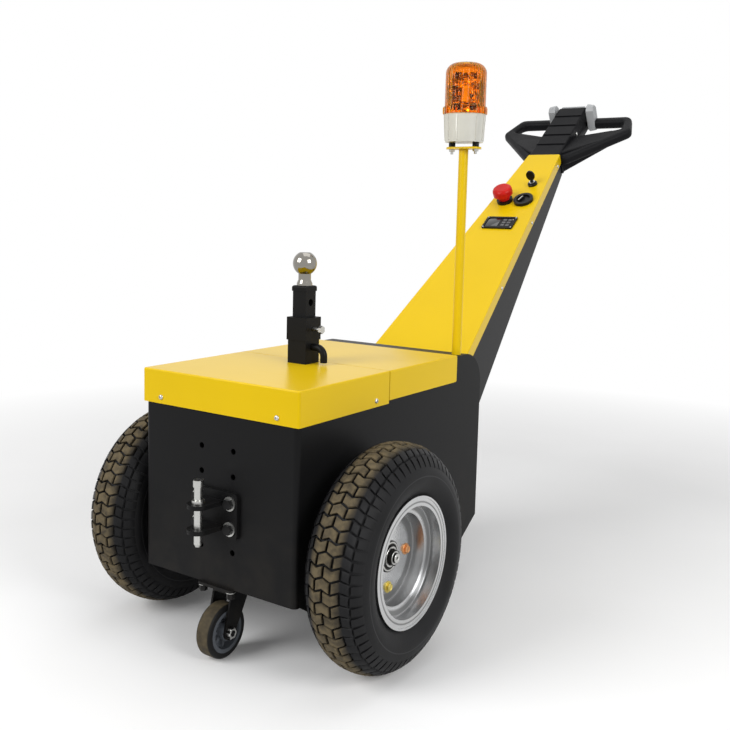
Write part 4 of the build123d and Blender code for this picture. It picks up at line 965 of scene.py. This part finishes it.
def switchFittings(look):
    fromTip, across = look["keySpot"]
    aside, above = look["keyProbe"]
    start = onTiller(fromTip, across + aside, above)
    hit = meet("key_switch", start, -offTiller)
    up = above - (hit[0] - start).length if hit else look["keyUp"]
    ring = ringPiece("ringMaster", *look["keyRing"], look["softEdge"])
    fitOn(ring, [laidOut(fromTip, across, up)], "key_ring", looks["zinc"])
    fromTip, across = look["socketSpot"]
    across += look["leverAside"]
    floorUp, turnDeg = look["socketFloor"], look["leverTurnDeg"]
    spots = [laidOut(fromTip, across, floorUp, turnDeg)]
    fitOn(slab("leverMaster", *look["lever"]), spots, "socket_lever", looks["panel_plastic"])
    # a pale strip along the lever: painted highlight
    lineUp = floorUp + look["lever"][2] - look["lineSink"]
    highlightLine = slab("highlightMaster", *look["highlightLine"], look["softEdge"])
    spots = [laidOut(fromTip, across, lineUp, turnDeg)]
    fitOn(highlightLine, spots, "socket_highlight_line", looks["beacon_white"])


coverScrews(tillerLook)
displayFittings(displayLook)
switchFittings(switchLook)
print("stage: cover screws, display and switches")


# screws in the sides of the tiller's head
headScrew = {
    "angleDeg": 31, "along": 0.148, "up": 0.015, "drop": 0.024, "probe": 0.062, "size": (0.0050, 0.0026),
}


def headScrews(look):
    tilt = radians(look["angleDeg"])
    along = look["along"] * Vector((0, cos(tilt), sin(tilt)))
    above = look["up"] * Vector((0, -sin(tilt), cos(tilt)))
    spot = onTiller(0, 0, -look["drop"]) + along + above
    places = []
    for sign in (-1, 1):
        start = Vector((sign * look["probe"], spot.y, spot.z))
        hit = meet("tiller_head", start, (-sign, 0, 0))
        if hit:
            places.append(hit)
    screwsAt(places, look["size"], "head_screws")


headScrews(headScrew)
print("stage: head screws")


# ribs round the beacon's base and collar, the nuts under its plate and the mirror behind its lamp
beaconFaceDeg = -55.3  # the way the lamp looks
beaconLook = {
    "ribDegs": (-150, -120, -90, -60, -30, 30, 60, 90, 120, 150),
    "rib": (0.0026, 0.0030, 0.053, 0.0006),  # width, length, height, edge
    "ribLow": 0.003,
    "baseRadius": 0.0400,
    "leanDeg": 3.45,
    "collarRadius": 0.0458,
    "collarRib": (0.0024, 0.0032, 0.0125, 0.0005),
    "collarLow": 0.0012,
    "nut": [
        (0.0062, -0.0004), (0.0062, 0.0042), (0.0054, 0.0050), (0.0031, 0.0050), (0.0031, 0.0098),
        (0.0025, 0.0104),
    ],
    "footRadius": 0.007,
}


def ringOf(look, node, radius, low, leanDeg):  # matrices for upright ribs round a turned part
    centre = middleOf(node)
    foot = Vector((centre.x, centre.y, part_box(node)[0][2] + low))
    matrices = []
    for turnDeg in look["ribDegs"]:
        turned = Matrix.Rotation(radians(beaconFaceDeg + turnDeg), 4, "Z")
        leaned = Matrix.Translation((radius, 0, 0)) @ Matrix.Rotation(radians(leanDeg), 4, "Y")
        matrices.append(Matrix.Translation(foot) @ turned @ leaned)
    return matrices


def beaconFittings(look):
    spots = ringOf(look, "beacon_base", look["baseRadius"], look["ribLow"], look["leanDeg"])
    fitOn(slab("ribMaster", *look["rib"]), spots, "beacon_ribs", looks["beacon_white"])
    spots = ringOf(look, "beacon_lens", look["collarRadius"], look["collarLow"], 0)
    fitOn(slab("ribMaster", *look["collarRib"]), spots, "collar_ribs", looks["amber"])
    low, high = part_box("beacon_feet")
    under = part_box("beacon_plate")[0][2]
    middle = middleOf("beacon_feet")
    ends = (low[0] + look["footRadius"], high[0] - look["footRadius"])
    places = [((x, middle.y, under), (0, 0, -1)) for x in ends]
    nuts = stamp(turnUp("nutMaster", segments=6, steps=look["nut"]), places, "beacon_nuts")
    settle(nuts, "chassis", looks["zinc"])


mirrorLook = {
    "radius": 0.034,
    "middle": 0.044,
    "reach": 0.058,
    "low": 0.012,
    "high": 0.090,
    "wall": 0.0012,
    "steps": 10,
    "arcSteps": 28,
    "smoothDeg": 60,
}


def lampMirror(look):  # a pressed half bowl behind the lamp, spun from its section
    outer = []
    for number in range(look["steps"] + 1):
        up = look["low"] + (look["high"] - look["low"]) * number / look["steps"]
        outer.append((look["radius"] * (1 - ((up - look["middle"]) / look["reach"]) ** 2) ** 0.5, up))
    section = outer + [(radius - look["wall"], up) for radius, up in reversed(outer)]
    spots = [(radius, 0, up) for radius, up in section]
    bowl = spinUp(spots, "NGON", look["arcSteps"], pi, (0, 0, 1))
    side = sum(vertex.co.y for vertex in bowl.data.vertices)
    turn = radians(beaconFaceDeg + (90 if side > 0 else -90))  # the hollow looks out at the front
    centre = middleOf("beacon_lens")
    foot = Matrix.Translation((centre.x, centre.y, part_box("beacon_lens")[0][2]))
    mirror = scatter(bowl, [foot @ Matrix.Rotation(turn, 4, "Z")], "lamp_mirror")
    settle(mirror, "chassis", looks["reflector"], look["smoothDeg"])


beaconFittings(beaconLook)
lampMirror(mirrorLook)
print("stage: beacon fittings")


# castor plate bolts and the bright nuts on the castor axles
castorLook = {
    "bolts": (0.033, 0.041),  # across, along
    "plate": 0.005,
    "washer": (0.0088, 0.0042, 0.0016),
    "head": [(0.0078, 0.0008), (0.0078, 0.0118), (0.0068, 0.0128), (0.0040, 0.0128), (0.0036, 0.0120)],
    "nutFrom": 0.023,
    "nutInside": 0.004,  # how far within the nut its corners are looked for
    "nutHeight": 0.0073,
    "nutGrow": 1.025,
    "nutShares": ((1, 0), (1, 0.86), (0.88, 1), (0.6, 1), (0.56, 0.9)),
}


def castorFittings(look):
    for end in ("front", "rear"):
        centre = middleOf(end + "_castor_plate")
        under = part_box(end + "_castor_plate")[1][2] - look["plate"]
        across, along = look["bolts"]
        spots = [(centre.x + x, centre.y + y, under) for x in (-across, across) for y in (-along, along)]
        places = [(spot, (0, 0, -1)) for spot in spots]
        washers = stamp(ringPiece("washerMaster", *look["washer"]), places, end + "_plate_washers")
        settle(washers, "chassis", looks["zinc"])
        master = turnUp("headMaster", segments=6, steps=look["head"])
        heads = stamp(master, places, end + "_plate_bolts")
        settle(heads, "chassis", looks["dark_steel"])
        castorNuts(end, look)


def castorNuts(end, look):  # caps over the fork's nuts, turned as they are
    hub = middleOf(end + "_castor_tread")
    mesh = frame["nodes"][end + "_castor_fork"].data
    beyond = look["nutFrom"] + look["nutInside"]
    matrices = []
    for sign in (-1, 1):
        tips = [vertex.co - hub for vertex in mesh.vertices if sign * (vertex.co.x - hub.x) > beyond]
        corner = max(tips, key=lambda tip: tip.y ** 2 + tip.z ** 2)
        radius = (corner.y ** 2 + corner.z ** 2) ** 0.5 * look["nutGrow"]
        turn = atan2(corner.z, corner.y)
        face = Vector((sign, 0, 0))
        first = Vector((0, cos(turn), sin(turn)))
        turned = Matrix((first, face.cross(first), face)).transposed().to_4x4()
        matrices.append(Matrix.Translation(hub + look["nutFrom"] * face) @ turned)
    steps = shaped(look["nutShares"], radius, look["nutHeight"])
    nuts = scatter(turnUp("nutMaster", segments=6, steps=steps), matrices, end + "_castor_nuts")
    settle(nuts, end + "_castor", looks["zinc"])


castorFittings(castorLook)
print("stage: castor fittings")


# lights, floor and camera
studioLook = {
    "fill": 0.38,
    "lamps": (  # name, spot, aim, size, power
        ("keyLight", (-1.5, -3.7, 2.4), (0, -0.3, 0.4), 2.2, 104),
        ("sideLight", (3.3, -1.1, 2.0), (0, -0.2, 0.4), 1.8, 66),
        ("topLight", (0.2, 0.2, 3.8), (0, 0, 0.4), 2.6, 26),
    ),
    "floor": 14,
    "fade": (1.0, 2.4),  # from the lit floor to plain white
    "glow": 0.06,  # lift of the lit floor
}


def seenDirect(tree):  # rays that should meet a plain white room
    path = addNode(tree, "ShaderNodeLightPath")
    seen = mathNode(tree, "MAXIMUM", path.outputs["Is Camera Ray"], path.outputs["Is Transmission Ray"])
    return mathNode(tree, "MAXIMUM", seen, path.outputs["Is Glossy Ray"])


def studio(look):
    scene = bpy.context.scene
    scene.view_settings.view_transform = "Standard"
    world = bpy.data.worlds.new("paleRoom")
    scene.world = world
    world.use_nodes = True
    tree = world.node_tree
    sky = tree.nodes["Background"]
    sky.inputs["Color"].default_value = (1, 1, 1, 1)
    tree.links.new(rangeNode(tree, seenDirect(tree), 0.0, 1.0, look["fill"], 1.0), sky.inputs["Strength"])
    for name, spot, aim, size, power in look["lamps"]:
        lamp = bpy.data.lights.new(name, "AREA")
        lamp.energy = power
        lamp.size = size
        holder = bpy.data.objects.new(name, lamp)
        scene.collection.objects.link(holder)
        holder.location = spot
        holder.rotation_euler = (Vector(aim) - Vector(spot)).to_track_quat("-Z", "Y").to_euler()
    clearSelection()
    bpy.ops.mesh.primitive_plane_add(size=look["floor"], location=(0, 0, 0))
    floor = bpy.context.object
    floor.name = "floor"
    floor.data.materials.append(fadingFloor(look))


def fadingFloor(look):  # lit and shadowed round the part, plain white farther out
    pale = Finish("paleFloor")
    tree = pale.tree
    skin = pale.group(paintSkin, Ripple=20.0)
    reach = addNode(tree, "ShaderNodeVectorMath", operation="LENGTH")
    tree.links.new(pale.place, reach.inputs[0])
    far = rangeNode(tree, reach.outputs["Value"], *look["fade"])
    lit = pale.mix(skin.outputs["Tone"], (0.90, 0.90, 0.90, 1), (0.92, 0.92, 0.92, 1))
    pale.feed("Base Color", pale.mix(far, lit, (0, 0, 0, 1)))
    glow = rangeNode(tree, far, 0.0, 1.0, look["glow"], 1.0)
    pale.feed("Emission Strength", mathNode(tree, "MULTIPLY", glow, seenDirect(tree)))
    pale.fix(Roughness=0.9, Emission_Color=(1, 1, 1, 1), Specular_IOR_Level=0.0)
    return pale.material


photoCamera = {
    "spot": (1.1099, -1.3821, 0.8062),  # Y is from the axle
    "azimuth": 34.7,
    "elevation": 6.2,
    "roll": 1.3,
    "sensor": 36,
    "focalPixels": 939.25,
    "frame": 730,
    "centre": (343.25, 317.76),
}


def aimCamera(look):
    turn, tip, roll = (radians(look[key]) for key in ("azimuth", "elevation", "roll"))
    back = Vector((sin(turn) * cos(tip), -cos(turn) * cos(tip), sin(tip)))
    right = Vector((cos(turn), sin(turn), 0))
    up = back.cross(right)
    across = cos(roll) * right + sin(roll) * up
    above = cos(roll) * up - sin(roll) * right
    data = bpy.data.cameras.new("photoCamera")
    data.sensor_width = look["sensor"]
    data.lens = look["sensor"] * look["focalPixels"] / look["frame"]
    data.shift_x = (look["frame"] / 2 - look["centre"][0]) / look["frame"]
    data.shift_y = (look["centre"][1] - look["frame"] / 2) / look["frame"]
    camera = bpy.data.objects.new("photoCamera", data)
    bpy.context.scene.collection.objects.link(camera)
    turned = Matrix((across, above, back)).transposed().to_4x4()
    x, y, z = look["spot"]
    camera.matrix_world = Matrix.Translation((x, y + axle.y, z)) @ turned
    bpy.context.scene.camera = camera


studio(studioLook)
aimCamera(photoCamera)
print("stage: studio and camera")
